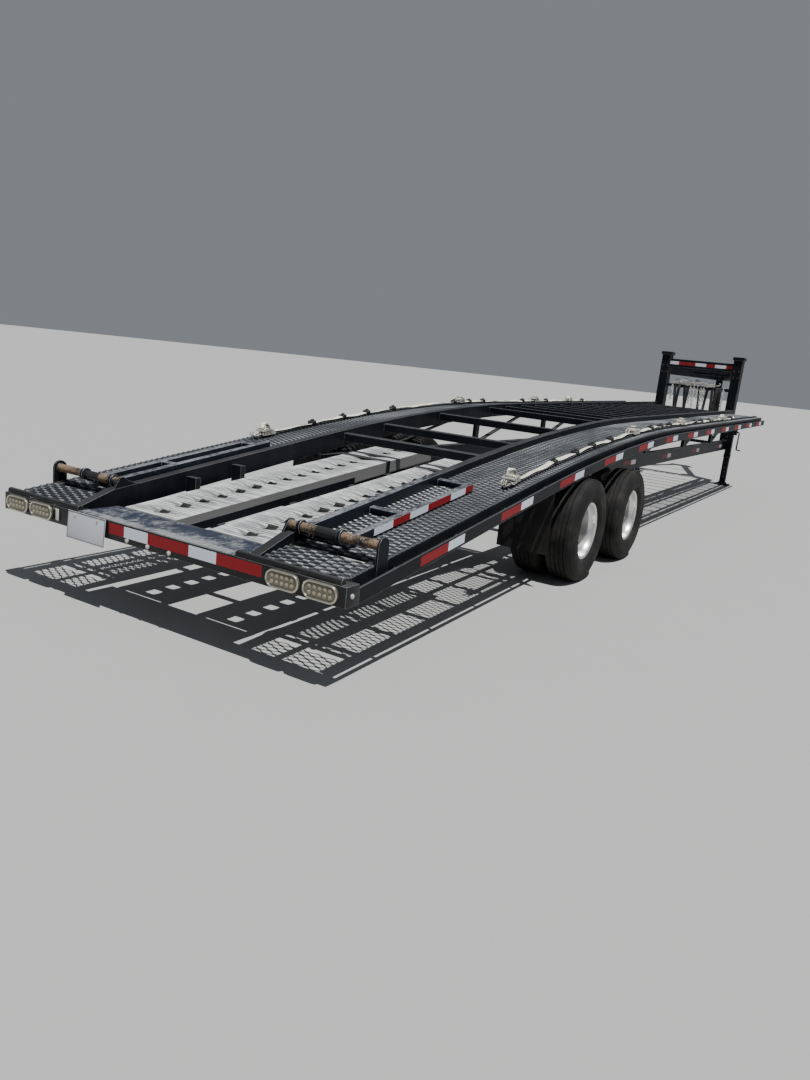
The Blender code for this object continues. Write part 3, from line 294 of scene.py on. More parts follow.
@dataclass(frozen=True)
class Paint:
    """Sprayed paint that is worn at its edges and dusty where it faces up."""

    colour: Colour
    bare: Colour = (0.30, 0.31, 0.33)
    gloss: float = 0.40
    wear: float = 0.5
    dust: float = 0.35
    edge: float = 0.004
    scoured: float = 0.0
    mirror: float = 0.22

    def make(self, name: str) -> Material:
        """Build the material."""
        graph = Graph(name)
        patches = graph.noise(2.2, 4.0)
        scratches = graph.noise(55.0, 4.0, (1.0, 0.35, 1.0), 0.7)
        specks = graph.noise(240.0, 2.0)
        worn = ((graph.edges(self.edge) * 1.2 + scratches * 0.9 + patches * 0.5 - 1.25 + self.wear * 0.5)
                .step(0.05, 0.45))
        if self.scoured:
            rubbed = (scratches * 0.8 + patches * 0.6 + (self.scoured - 0.95)).step(0.0, 0.55)
            worn = worn + graph.facing_up().step(0.75, 0.97) * rubbed
        chips = (scratches * 0.7 + specks * 0.5).step(0.80 - self.wear * 0.10, 0.88)
        bare = (worn + chips * (0.3 + self.wear)).step(0.0, 1.0)
        runs = graph.noise(9.0, 5.0, (1.0, 1.0, 0.12), 0.6)
        dusty = (graph.facing_up().step(0.3, 0.95) * (patches * 0.6 + specks * 0.5)).step(0.15, 0.9) * self.dust
        dusty = dusty + (runs * 0.8 + specks * 0.3).step(0.50, 0.90) * self.dust * 0.22
        fresh = graph.blend(patches.step(0.35, 0.7), self.colour, tuple(c * 1.5 + 0.002 for c in self.colour))
        stained = graph.blend(dusty, fresh, (0.165, 0.162, 0.160))
        colour = graph.blend(bare, stained, self.bare)
        rough = (specks * 0.16 + patches * 0.14 + (self.gloss - 0.15)) + dusty * 0.35
        normal = graph.bump(specks * 0.5 + scratches, 0.00035, graph.rounded(self.edge * 0.6), 0.5)
        return graph.surface(Base_Color=colour, Roughness=rough, Metallic=bare * 0.55, Normal=normal,
                             Specular_IOR_Level=self.mirror)


@dataclass(frozen=True)
class Strands:
    """Expanded steel: dark paint, rubbed to bright metal on the faces that tyres touch; that bright metal on the upward
    raised bond sides is also a painted highlight for the strands' glint.
    """

    paint: Colour = (0.0120, 0.0135, 0.0170)
    # bare metal where tyres rub, also used as a painted highlight on the raised bond sides
    bright: Colour = (0.48, 0.49, 0.50)
    wear: float = 0.5

    def make(self, name: str) -> Material:
        """Build the material."""
        graph = Graph(name)
        patches = graph.noise(1.7, 4.0, (1.6, 0.6, 1.0))
        scratches = graph.noise(140.0, 3.0)
        rub = graph.add("ShaderNodeAttribute", {"attribute_name": WEAR_GLINT_SHADE}, out="Fac").step(0.60, 1.0)
        rubbed = (patches * 0.9 + scratches * 0.6 + (self.wear - 1.0)).step(0.0, 0.60)
        # upward faces on the raised side of each bond: rubbed bare metal from tyres, plus a painted highlight in place
        # of the glint
        worn = graph.facing_up().step(0.45, 0.86) * rubbed * rub
        dark = graph.blend(scratches, self.paint, tuple(c * 2.4 for c in self.paint))
        colour = graph.blend(worn, dark, self.bright)
        rough = scratches * 0.22 + 0.34
        return graph.surface(Base_Color=colour, Roughness=rough, Metallic=worn * 0.55, Specular_IOR_Level=0.3,
                             Normal=graph.bump(scratches, 0.0002, None, 0.5))


@dataclass(frozen=True)
class Metal:
    """Bare or plated metal, brushed along one axis and stained."""

    colour: Colour
    stain: Colour
    gloss: float = 0.35
    stained: float = 0.3
    shine: float = 1.0
    grain: tuple[float, float, float] = (1.0, 8.0, 8.0)

    def make(self, name: str) -> Material:
        """Build the material."""
        graph = Graph(name)
        brushed = graph.noise(120.0, 3.0, self.grain)
        patches = graph.noise(7.0, 5.0, rough=0.65)
        grime = (patches * 0.8 + brushed * 0.3).step(0.72 - self.stained * 0.35, 0.92)
        tint = graph.blend(brushed, tuple(c * 0.86 for c in self.colour), self.colour)
        colour = graph.blend(grime * min(self.stained * 1.6, 1.0), tint, self.stain)
        rough = brushed * 0.18 + patches * 0.15 + grime * 0.25 + (self.gloss - 0.16)
        return graph.surface(Base_Color=colour, Roughness=rough, Metallic=self.shine - grime * self.shine * 0.6,
                             Normal=graph.bump(brushed, 0.0002, graph.rounded(0.0015), 0.6))


@dataclass(frozen=True)
class Aluminium:
    """Mill-finish aluminium: bright streaks across the tread; the sides get a darker grey as painted shade, and the
    tread's low places get painted shade.
    """

    bright: Colour = (0.86, 0.86, 0.85)
    streak: Colour = (0.30, 0.305, 0.315)
    # grey of the side faces: painted shade, darker than the tread
    side_shade: Colour = (0.20, 0.20, 0.195)
    shaded: Colour = (0.16, 0.16, 0.16)

    def make(self, name: str) -> Material:
        """Build the material."""
        graph = Graph(name)
        streaks = graph.noise(34.0, 4.0, (0.10, 1.0, 1.0), 0.7)
        cloud = graph.noise(6.0, 4.0)
        grain = graph.noise(260.0, 3.0, (0.2, 1.0, 1.0))
        # upward faces take the tread colours and the sides the darker grey: lit and painted-shade copies of one
        # aluminium
        upper = graph.facing_up().step(0.35, 0.95)
        dark = (streaks * 0.9 + cloud * 0.4 - 0.06).step(0.48, 0.70)
        # painted shade in the rib valleys and round the dents, where the skin lies low
        low = graph.add("ShaderNodeAttribute", {"attribute_name": WEAR_GLINT_SHADE}, out="Fac")
        tread = graph.blend(low.step(0.0, 1.0), graph.blend(dark * 0.85, self.bright, self.streak), self.shaded)
        colour = graph.blend(upper, graph.blend(grain, self.side_shade, tuple(c * 1.5 for c in self.side_shade)), tread)
        rough = streaks * 0.20 + grain * 0.10 + 0.36
        return graph.surface(Base_Color=colour, Roughness=rough, Metallic=0.35,
                             Normal=graph.bump(grain + streaks, 0.0003, None, 0.6))


@dataclass(frozen=True)
class Rust:
    """Painted steel that has rusted through in blotches."""

    paint: Colour = (0.030, 0.028, 0.028)
    rust: Colour = (0.200, 0.105, 0.060)
    pale: Colour = (0.360, 0.270, 0.205)
    spread: float = 0.5
    kept: Span | None = None

    def make(self, name: str) -> Material:
        """Build the material."""
        graph = Graph(name)
        blotch = graph.noise(9.0, 5.0, rough=0.6)
        fine = graph.noise(110.0, 4.0, rough=0.65)
        eaten = (blotch + fine * 0.35).step(0.82 - self.spread * 0.5, 0.98 - self.spread * 0.5)
        if self.kept:
            middle, reach = sum(self.kept) / 2, (self.kept[1] - self.kept[0]) / 2
            off = graph.axis(0).size() - middle
            eaten = eaten * (off.size() + (blotch - 0.5) * 0.05).step(reach - 0.004, reach + 0.006)
        brown = graph.blend(fine.step(0.35, 0.72), self.rust, self.pale)
        colour = graph.blend(eaten, self.paint, brown)
        return graph.surface(Base_Color=colour, Roughness=0.45 + eaten * 0.42, Metallic=0.0,
                             Normal=graph.bump(fine + eaten * 0.6, 0.0006, None, 0.7))


@dataclass(frozen=True)
class Rubber:
    """Dusty rubber with fine moulded lines round the wheel."""

    colour: Colour = (0.013, 0.013, 0.013)
    dust: Colour = (0.082, 0.076, 0.066)
    dusty: float = 0.5

    def make(self, name: str) -> Material:
        """Build the material."""
        graph = Graph(name)
        cloud = graph.noise(5.0, 5.0, rough=0.6)
        fine = graph.noise(90.0, 4.0)
        smear = (cloud * 0.9 + fine * 0.35).step(0.50, 0.95) * self.dusty
        colour = graph.blend(smear, self.colour, self.dust)
        return graph.surface(Base_Color=colour, Roughness=fine * 0.12 + 0.70, Specular_IOR_Level=0.18,
                             Normal=graph.bump(fine, 0.0008, None, 0.5))


@dataclass(frozen=True)
class Reflector:
    """Reflective strip with its pressed lattice, scratched and faded."""

    colour: Colour
    faded: Colour

    def make(self, name: str) -> Material:
        """Build the material."""
        graph = Graph(name)
        lattice = ((graph.axis(1) + graph.axis(2) + graph.axis(0)) * 900.0).sine() * 0.5 + 0.5
        blotch = graph.noise(14.0, 5.0, rough=0.65)
        scratch = graph.noise(45.0, 4.0, (1.0, 0.2, 4.0), 0.7)
        forward = (graph.axis(1) * 0.11 + 0.72).step(0.0, 1.0)
        old = (blotch * 0.8 + scratch * 0.5).step(0.62, 0.95) * (forward * 0.75 + 0.15)
        tint = graph.blend(lattice * 0.12, self.colour, self.faded)
        colour = graph.blend(old, tint, self.faded)
        return graph.surface(Base_Color=colour, Roughness=scratch * 0.20 + 0.46, Specular_IOR_Level=0.25,
                             Normal=graph.bump(lattice * 0.5 + scratch, 0.0001, None, 0.4))


@dataclass(frozen=True)
class Plastic:
    """Moulded plastic, clear-coated or dull."""

    colour: Colour
    gloss: float = 0.25
    coat: float = 0.6
    haze: Colour = (0.5, 0.48, 0.42)

    def make(self, name: str) -> Material:
        """Build the material."""
        graph = Graph(name)
        cloud = graph.noise(60.0, 4.0)
        colour = graph.blend(cloud.step(0.45, 0.85) * 0.5, self.colour, self.haze)
        return graph.surface(Base_Color=colour, Roughness=cloud * 0.15 + self.gloss, Coat_Weight=self.coat,
                             Normal=graph.bump(cloud, 0.0002, None, 0.3))


@dataclass(frozen=True)
class Woven:
    """Flat woven webbing with soiled patches."""

    colour: Colour = (0.80, 0.77, 0.66)
    soil: Colour = (0.42, 0.38, 0.29)
    pitch: float = 0.0022

    def make(self, name: str) -> Material:
        """Build the material."""
        graph = Graph(name)
        turn = 2 * math.pi / self.pitch
        weave = (graph.axis(1) * turn).sine() * (graph.axis(0) * turn).sine() * 0.5 + 0.5
        patches = graph.noise(11.0, 5.0, rough=0.6)
        soiled = (patches + weave * 0.12).step(0.48, 0.85)
        colour = graph.blend(soiled * 0.65, self.colour, self.soil)
        return graph.surface(Base_Color=colour, Roughness=0.85 + weave * 0.1,
                             Normal=graph.bump(weave, 0.0007, None, 0.8))


@dataclass(frozen=True)
class WornSheet:
    """Painted plate that cars have driven on: dark blue-black with pale scoured patches."""

    colour: Colour = (0.012, 0.020, 0.045)
    bare: Colour = (0.36, 0.37, 0.38)

    def make(self, name: str) -> Material:
        """Build the material."""
        graph = Graph(name)
        cloud = graph.noise(4.5, 9.0, rough=0.80)
        drag = graph.noise(60.0, 5.0, (1.0, 0.30, 1.0), 0.75)
        fine = graph.noise(170.0, 3.0)
        strip = (graph.axis(1) * -1.0).step(6.846, 6.872) * 0.09
        scoured = (cloud * 0.9 + drag * 0.50 + fine * 0.25 + strip + graph.edges(0.006) * 0.4).step(0.79, 1.00)
        colour = graph.blend(scoured, graph.blend(cloud, self.colour, (0.028, 0.032, 0.042)), self.bare)
        return graph.surface(Base_Color=colour, Roughness=drag * 0.25 + 0.42, Metallic=scoured * 0.5,
                             Specular_IOR_Level=0.3,
                             Normal=graph.bump(fine + drag, 0.0004, None, 0.6))


@dataclass(frozen=True)
class Ground:
    """Plain pale studio floor."""

    colour: Colour = (0.385, 0.380, 0.372)

    def make(self, name: str) -> Material:
        """Build the material."""
        graph = Graph(name)
        grain = graph.noise(3.0, 4.0)
        colour = graph.blend(grain, self.colour, tuple(c * 1.04 for c in self.colour))
        return graph.surface(Base_Color=colour, Roughness=0.85)


class Finish(Enum):
    """Every finish on the trailer, named for what wears it."""

    FRAME = Paint((0.0046, 0.0056, 0.0080), gloss=0.48, wear=0.42, dust=0.32, mirror=0.12)
    FLIP = Paint((0.0055, 0.0080, 0.0135), bare=(0.36, 0.38, 0.41), wear=0.80, dust=0.15, edge=0.006, scoured=0.46,
                 mirror=0.15)
    DECK = Strands()
    FLIP_MESH = Strands(wear=0.75)
    BUMPER = Paint((0.0100, 0.0102, 0.0110), wear=0.60, dust=0.26)
    RUNNING = Paint((0.0070, 0.0066, 0.0062), bare=(0.16, 0.12, 0.09), gloss=0.6, wear=0.3, dust=0.40)
    TAIL = WornSheet()
    PIPE = Rust(paint=(0.014, 0.015, 0.016), rust=(0.120, 0.072, 0.042), pale=(0.300, 0.215, 0.140), spread=0.62,
                kept=(0.795, 0.935))
    CHAIN = Rust(paint=(0.52, 0.51, 0.48), rust=(0.16, 0.10, 0.07), pale=(0.34, 0.28, 0.22), spread=0.15)
    RAMP = Aluminium()
    WHEEL = Metal((0.80, 0.80, 0.79), (0.30, 0.25, 0.19), gloss=0.32, stained=0.35, shine=0.85)
    DRUM = Metal((0.16, 0.14, 0.12), (0.09, 0.07, 0.05), gloss=0.55, stained=0.6, shine=0.6)
    ZINC = Metal((0.76, 0.74, 0.68), (0.36, 0.29, 0.19), gloss=0.36, stained=0.38, shine=0.6, grain=(2.0, 2.0, 2.0))
    BEZEL = Metal((0.66, 0.62, 0.52), (0.34, 0.29, 0.22), gloss=0.30, stained=0.4, shine=0.9)
    TYRE = Rubber()
    FLAP = Rubber(dusty=0.25)
    RED = Reflector((0.235, 0.0045, 0.0090), (0.30, 0.040, 0.045))
    WHITE = Reflector((0.66, 0.72, 0.80), (0.46, 0.47, 0.46))
    OLD_RED = Reflector((0.12, 0.012, 0.016), (0.060, 0.045, 0.045))
    OLD_WHITE = Reflector((0.42, 0.42, 0.44), (0.15, 0.14, 0.14))
    LENS = Plastic((0.125, 0.112, 0.070), gloss=0.20, coat=0.4, haze=(0.21, 0.19, 0.13))
    DIODE = Plastic((0.27, 0.25, 0.16), gloss=0.12, coat=0.5, haze=(0.12, 0.105, 0.06))
    GLASS = Plastic((0.46, 0.46, 0.44), gloss=0.12, coat=0.9, haze=(0.34, 0.33, 0.30))
    PLATE = Metal((0.60, 0.62, 0.66), (0.40, 0.40, 0.40), gloss=0.42, stained=0.25, shine=0.25)
    RIM = Metal((0.20, 0.20, 0.21), (0.10, 0.09, 0.08), gloss=0.40, stained=0.4, shine=0.6)
    KNOB = Plastic((0.012, 0.012, 0.013), gloss=0.45, coat=0.1, haze=(0.05, 0.05, 0.05))
    WEBBING = Woven()
    OLD_WEBBING = Woven(colour=(0.022, 0.023, 0.026), soil=(0.100, 0.090, 0.075))
    FLOOR = Ground()

    def material(self) -> Material:
        """The finish's material, made on first use."""
        name = f"{self.name.lower()}_finish"
        return bpy.data.materials.get(name) or self.value.make(name)


# Which finish each packed slot wears
SLOT_FINISH = {
    "frame_paint": Finish.FRAME,
    "deck_steel": Finish.DECK,
    "rusty_pipe": Finish.PIPE,
    "ramp_aluminium": Finish.RAMP,
    "wheel_silver": Finish.WHEEL,
    "tyre_rubber": Finish.TYRE,
    "running_gear": Finish.RUNNING,
    "flap_rubber": Finish.FLAP,
    "plate_white": Finish.PLATE,
    "webbing": Finish.WEBBING,
}
# Nodes that wear another finish than their slot's
NODE_FINISH = {
    "tail_plate": Finish.TAIL,
    "flip_ramp_left": Finish.FLIP,
    "flip_ramp_right": Finish.FLIP,
}


def standing(x: float, y: float, z: float) -> Matrix:
    """Frame at a point, its section across the trailer and upright, its travel along the trailer."""
    return Matrix(((1, 0, 0, x), (0, 0, 1, y), (0, 1, 0, z), (0, 0, 0, 1)))


def arc(centre: Vector, radius: float, degrees: Iterable[int]) -> Outline:
    """Points as (y, z) on an arc round a centre, at angles that count from forward through up."""
    turns = [math.radians(angle) for angle in degrees]
    return [(centre.y + radius * math.cos(turn), centre.z + radius * math.sin(turn)) for turn in turns]


def ring(count: int, radius: float, shift: float = 0.0) -> list[Vector]:
    """Offsets of points spread evenly round an axle, turned by a share of the step between them."""
    turns = [2 * math.pi * (i + shift) / count for i in range(count)]
    return [Vector((0.0, math.cos(turn), math.sin(turn))) * radius for turn in turns]


def shown(name: str, data: bpy.types.ID) -> bpy.types.Object:
    """New object in the scene.

    Args:
        name: Its name.
        data: What it shows.

    Returns:
        The object.
    """
    item = bpy.data.objects.new(name, data)
    bpy.context.scene.collection.objects.link(item)
    return item


class Model:
    """A mesh in the making, shaped with bmesh operators."""

    def __init__(self) -> None:
        """Start empty."""
        self.bm = bmesh.new()

    def cuboid(self, low: Point, high: Point, round_off: float = 0.0, segments: int = 2) -> list[Vert]:
        """Box between two corners with rounded edges.

        Args:
            low: One corner.
            high: The opposite corner.
            round_off: Radius of its edges.
            segments: Steps in each rounding.

        Returns:
            Its vertices.
        """
        size = Vector([abs(b - a) for a, b in zip(low, high)])
        centre = (Vector(low) + Vector(high)) / 2
        made = bmesh.ops.create_cube(self.bm, size=1.0, matrix=Matrix.Translation(centre) @ Matrix.Diagonal((*size, 1)))
        verts = made["verts"]
        if round_off:
            edges = list({edge for vert in verts for edge in vert.link_edges})
            done = bmesh.ops.bevel(self.bm, geom=edges, offset=round_off, segments=segments, profile=0.5,
                                   affect="EDGES", material=-1)
            verts = [v for v in {*done["verts"], *verts} if v.is_valid]
        return verts

    def rod(self, start: Point, end: Point, radius: float, segments: int = 16, tip: float | None = None
            ) -> list[Vert]:
        """Round bar between two points.

        Args:
            start: Centre of one end.
            end: Centre of the other.
            radius: Radius at the start.
            segments: Sides.
            tip: Radius at the end, where it differs.

        Returns:
            Its vertices.
        """
        start, end = Vector(start), Vector(end)
        turn = (end - start).to_track_quat("Z", "Y").to_matrix().to_4x4()
        made = bmesh.ops.create_cone(self.bm, cap_ends=True, segments=segments, radius1=radius,
                                     radius2=radius if tip is None else tip, depth=(end - start).length,
                                     matrix=Matrix.Translation((start + end) / 2) @ turn)
        return made["verts"]

    def bead(self, spot: Point, radius: float, flat: float, segments: int) -> None:
        """Ball that is flattened along the trailer."""
        matrix = Matrix.Translation(spot) @ Matrix.Diagonal((1, flat, 1, 1))
        bmesh.ops.create_uvsphere(self.bm, u_segments=segments, v_segments=8, radius=radius, matrix=matrix)

    def prism(self, outline: Iterable[Point], travel: Point) -> list[Vert]:
        """Flat outline pulled along a vector.

        Args:
            outline: Corners of the outline.
            travel: The way it is pulled.

        Returns:
            Its vertices.
        """
        verts = [self.bm.verts.new(point) for point in outline]
        face = self.bm.faces.new(verts)
        made = bmesh.ops.extrude_face_region(self.bm, geom=[face])
        moved = [item for item in made["geom"] if isinstance(item, Vert)]
        bmesh.ops.translate(self.bm, verts=moved, vec=travel)
        return verts + moved

    def sweep(self, section: Sequence[Span], frames: Sequence[Matrix]) -> list[Vert]:
        """Section in the local XY plane carried through a row of frames.

        Args:
            section: Corners of the section.
            frames: Where the section stands, one after another.

        Returns:
            Its vertices.
        """
        verts = [self.bm.verts.new(frames[0] @ Vector((x, y, 0.0))) for x, y in section]
        face = self.bm.faces.new(verts)
        everything = list(verts)
        for before, after in zip(frames, frames[1:]):
            made = bmesh.ops.extrude_face_region(self.bm, geom=[face])["geom"]
            moved = [item for item in made if isinstance(item, Vert)]
            bmesh.ops.transform(self.bm, matrix=after @ before.inverted(), verts=moved)
            face = next(item for item in made if isinstance(item, bmesh.types.BMFace))
            everything += moved
        return everything

    def skin(self, loops: Iterable[Iterable[Point]], closed: bool = False) -> None:
        """Surface over a row of loops.

        Args:
            loops: Points of each loop, as many in each.
            closed: Whether the last loop joins the first; both are capped otherwise.
        """
        rings = [[self.bm.verts.new(point) for point in loop] for loop in loops]
        edges = [[self.bm.edges.new(pair) for pair in zip(verts, verts[1:] + verts[:1])] for verts in rings]
        for near, far in zip(edges, edges[1:] + edges[:closed]):
            bmesh.ops.bridge_loops(self.bm, edges=near + far)
        for loop in () if closed else (edges[0], edges[-1]):
            bmesh.ops.contextual_create(self.bm, geom=loop)

    def lathe(self, profile: Sequence[Span], centre: Point, steps: int, closed: bool = True,
              flip: int = 1) -> list[Vert]:
        """Profile turned about the X axis through a centre.

        Args:
            profile: Points of (along X, radius).
            centre: The centre.
            steps: Steps in the full turn.
            closed: Whether the profile is a loop.
            flip: -1 to mirror it along X.

        Returns:
            Its vertices.
        """
        before = set(self.bm.verts)
        spot = Vector(centre)
        points = [self.bm.verts.new(spot + Vector((flip * along, 0.0, -radius))) for along, radius in profile]
        pairs = list(zip(points, points[1:]))
        if closed:
            pairs.append((points[-1], points[0]))
        lines = [self.bm.edges.new(pair) for pair in pairs]
        bmesh.ops.spin(self.bm, geom=points + lines, cent=spot, axis=(1, 0, 0), angle=2 * math.pi, steps=steps,
                       use_merge=True)
        fresh = [vert for vert in self.bm.verts if vert not in before]
        bmesh.ops.remove_doubles(self.bm, verts=fresh, dist=1e-5)
        return [vert for vert in self.bm.verts if vert not in before]

    @staticmethod
    def frames(path: Sequence[Point], across: Point = (1, 0, 0)) -> list[Matrix]:
        """Frames along a path.

        Args:
            path: Points of the path.
            across: The way that each frame's X axis stays near.

        Returns:
            One frame for each point, its Z axis along the path.
        """
        spots = [Vector(point) for point in path]
        result = []
        for i, spot in enumerate(spots):
            ahead = (spots[min(i + 1, len(spots) - 1)] - spots[max(i - 1, 0)]).normalized()
            side = (Vector(across) - ahead * ahead.dot(Vector(across))).normalized()
            frame = Matrix((side, ahead.cross(side), ahead)).transposed().to_4x4()
            frame.translation = spot
            result.append(frame)
        return result

    def wire(self, path: Sequence[Point], radius: float, sides: int = 8, across: Point = (1, 0, 0)
             ) -> list[Vert]:
        """Round wire bent along a path."""
        section = [(radius * math.cos(2 * math.pi * i / sides), radius * math.sin(2 * math.pi * i / sides))
                   for i in range(sides)]
        return self.sweep(section, self.frames(path, across))

    def band(self, path: Sequence[Point], width: float, thick: float, across: Point = (1, 0, 0)
             ) -> list[Vert]:
        """Flat band laid along a path, with softened edges."""
        half, flat = width / 2, thick / 2
        section = [(-half, -flat * 0.5), (-half + flat, -flat), (half - flat, -flat), (half, -flat * 0.5),
                   (half, flat * 0.5), (half - flat, flat), (-half + flat, flat), (-half, flat * 0.5)]
        return self.sweep(section, self.frames(path, across))

    def place(self, verts: Iterable[Vert], matrix: Matrix) -> None:
        """Move vertices by a matrix."""
        bmesh.ops.transform(self.bm, matrix=matrix, verts=list(verts))

    def take(self, mesh: Mesh) -> None:
        """Add a mesh to the work and drop it."""
        self.bm.from_mesh(mesh)
        bpy.data.meshes.remove(mesh)

    def mesh(self, name: str) -> Mesh:
        """Close the work and return its mesh with its faces pointing out."""
        bmesh.ops.recalc_face_normals(self.bm, faces=self.bm.faces)
        mesh = bpy.data.meshes.new(name)
        self.bm.to_mesh(mesh)
        self.bm.free()
        return mesh


def carved(body: Model, cutter: Model) -> Mesh:
    """Cut one model out of another.

    Args:
        body: The model that is cut.
        cutter: The model that is taken away.

    Returns:
        What is left.
    """
    items = [shown(name, model.mesh(name)) for model, name in ((body, "carved_body"), (cutter, "carving_tool"))]
    change = items[0].modifiers.new("cut", "BOOLEAN")
    change.operation = "DIFFERENCE"
    change.object = items[1]
    mesh = bpy.data.meshes.new_from_object(items[0].evaluated_get(bpy.context.evaluated_depsgraph_get()))
    for item in items:
        data = item.data
        bpy.data.objects.remove(item)
        bpy.data.meshes.remove(data)
    return mesh


@dataclass
class Piece:
    """What a finished piece is called, wears, rides on and stands for."""

    name: str
    finish: Finish
    slot: str = "frame_paint"
    body: str = "root"
    replaced: tuple[str, ...] = ()
    smooth: float = 40.0

    def publish(self, mesh: Mesh) -> bpy.types.Object:
        """Put the mesh on the trailer.

        Args:
            mesh: The piece's mesh, in place.

        Returns:
            The object.
        """
        mesh.name = self.name
        mesh.materials.clear()
        mesh.materials.append(self.finish.material())
        mesh.shade_smooth()
        mesh.set_sharp_from_angle(angle=math.radians(self.smooth))
        item = shown(self.name, mesh)
        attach(item, self.body)
        if self.replaced:
            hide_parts(*self.replaced)
        LOG.info("%s: %d faces on %s", self.name, len(mesh.polygons), self.body)
        return item

    def finish_model(self, model: Model) -> bpy.types.Object:
        """Publish a model."""
        return self.publish(model.mesh(self.name))


class DeckLine:
    """The line of the deck's top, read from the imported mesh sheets."""

    half = 0.003

    def __init__(self, node: bpy.types.Object) -> None:
        """Read the bends of a sheet.

        Args:
            node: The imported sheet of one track.
        """
        found: dict[float, list[float]] = {}
        for vert in node.data.vertices:
            found.setdefault(round(vert.co.y, 3), []).append(vert.co.z)
        through = {key: heights for key, heights in found.items() if max(heights) - min(heights) > self.half}
        places = sorted(through)
        tops = [max(through[key]) for key in places]
        keep = [0] + [i for i in range(1, len(places) - 1) if self._bends(places, tops, i)] + [len(places) - 1]
        self.stations = [places[i] for i in keep]
        self.heights = [tops[i] for i in keep]

    @staticmethod
    def _bends(places: Sequence[float], tops: Sequence[float], i: int) -> bool:
        """Whether the line bends at one of its places."""
        before = (tops[i] - tops[i - 1]) / (places[i] - places[i - 1])
        after = (tops[i + 1] - tops[i]) / (places[i + 1] - places[i])
        return abs(after - before) > 0.004

    def height(self, y: float) -> float:
        """Height of the deck's top at a place along the trailer."""
        return float(np.interp(y, self.stations, self.heights))

    def slope(self, y: float, reach: float = 0.02) -> float:
        """Slope of the deck at a place along the trailer."""
        return (self.height(y + reach) - self.height(y - reach)) / (2 * reach)

    def settle(self, verts: Iterable[Vert], lift: float = 0.0) -> None:
        """Raise vertices, modelled on a level deck at zero, onto the deck."""
        for vert in verts:
            vert.co.z += self.height(vert.co.y) + lift

    def lay(self, mesh: Mesh, lift: float = 0.0) -> None:
        """Raise a mesh, modelled on a level deck at zero, onto the deck."""
        spots = np.zeros(len(mesh.vertices) * 3)
        mesh.vertices.foreach_get("co", spots)
        spots = spots.reshape(-1, 3)
        spots[:, 2] += np.interp(spots[:, 1], self.stations, self.heights) + lift
        mesh.vertices.foreach_set("co", spots.ravel())
        mesh.update()


@dataclass
class Stations:
    """Places along the trailer, counted forward from the bumper's rear face."""

    rear_face: float = 0.0

    @classmethod
    def from_frame(cls) -> "Stations":
        """Read the bumper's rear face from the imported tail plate."""
        return cls(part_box("tail_plate")[0].y)

    def at(self, station: float) -> float:
        """Place of a station in the shared frame."""
        return self.rear_face + station


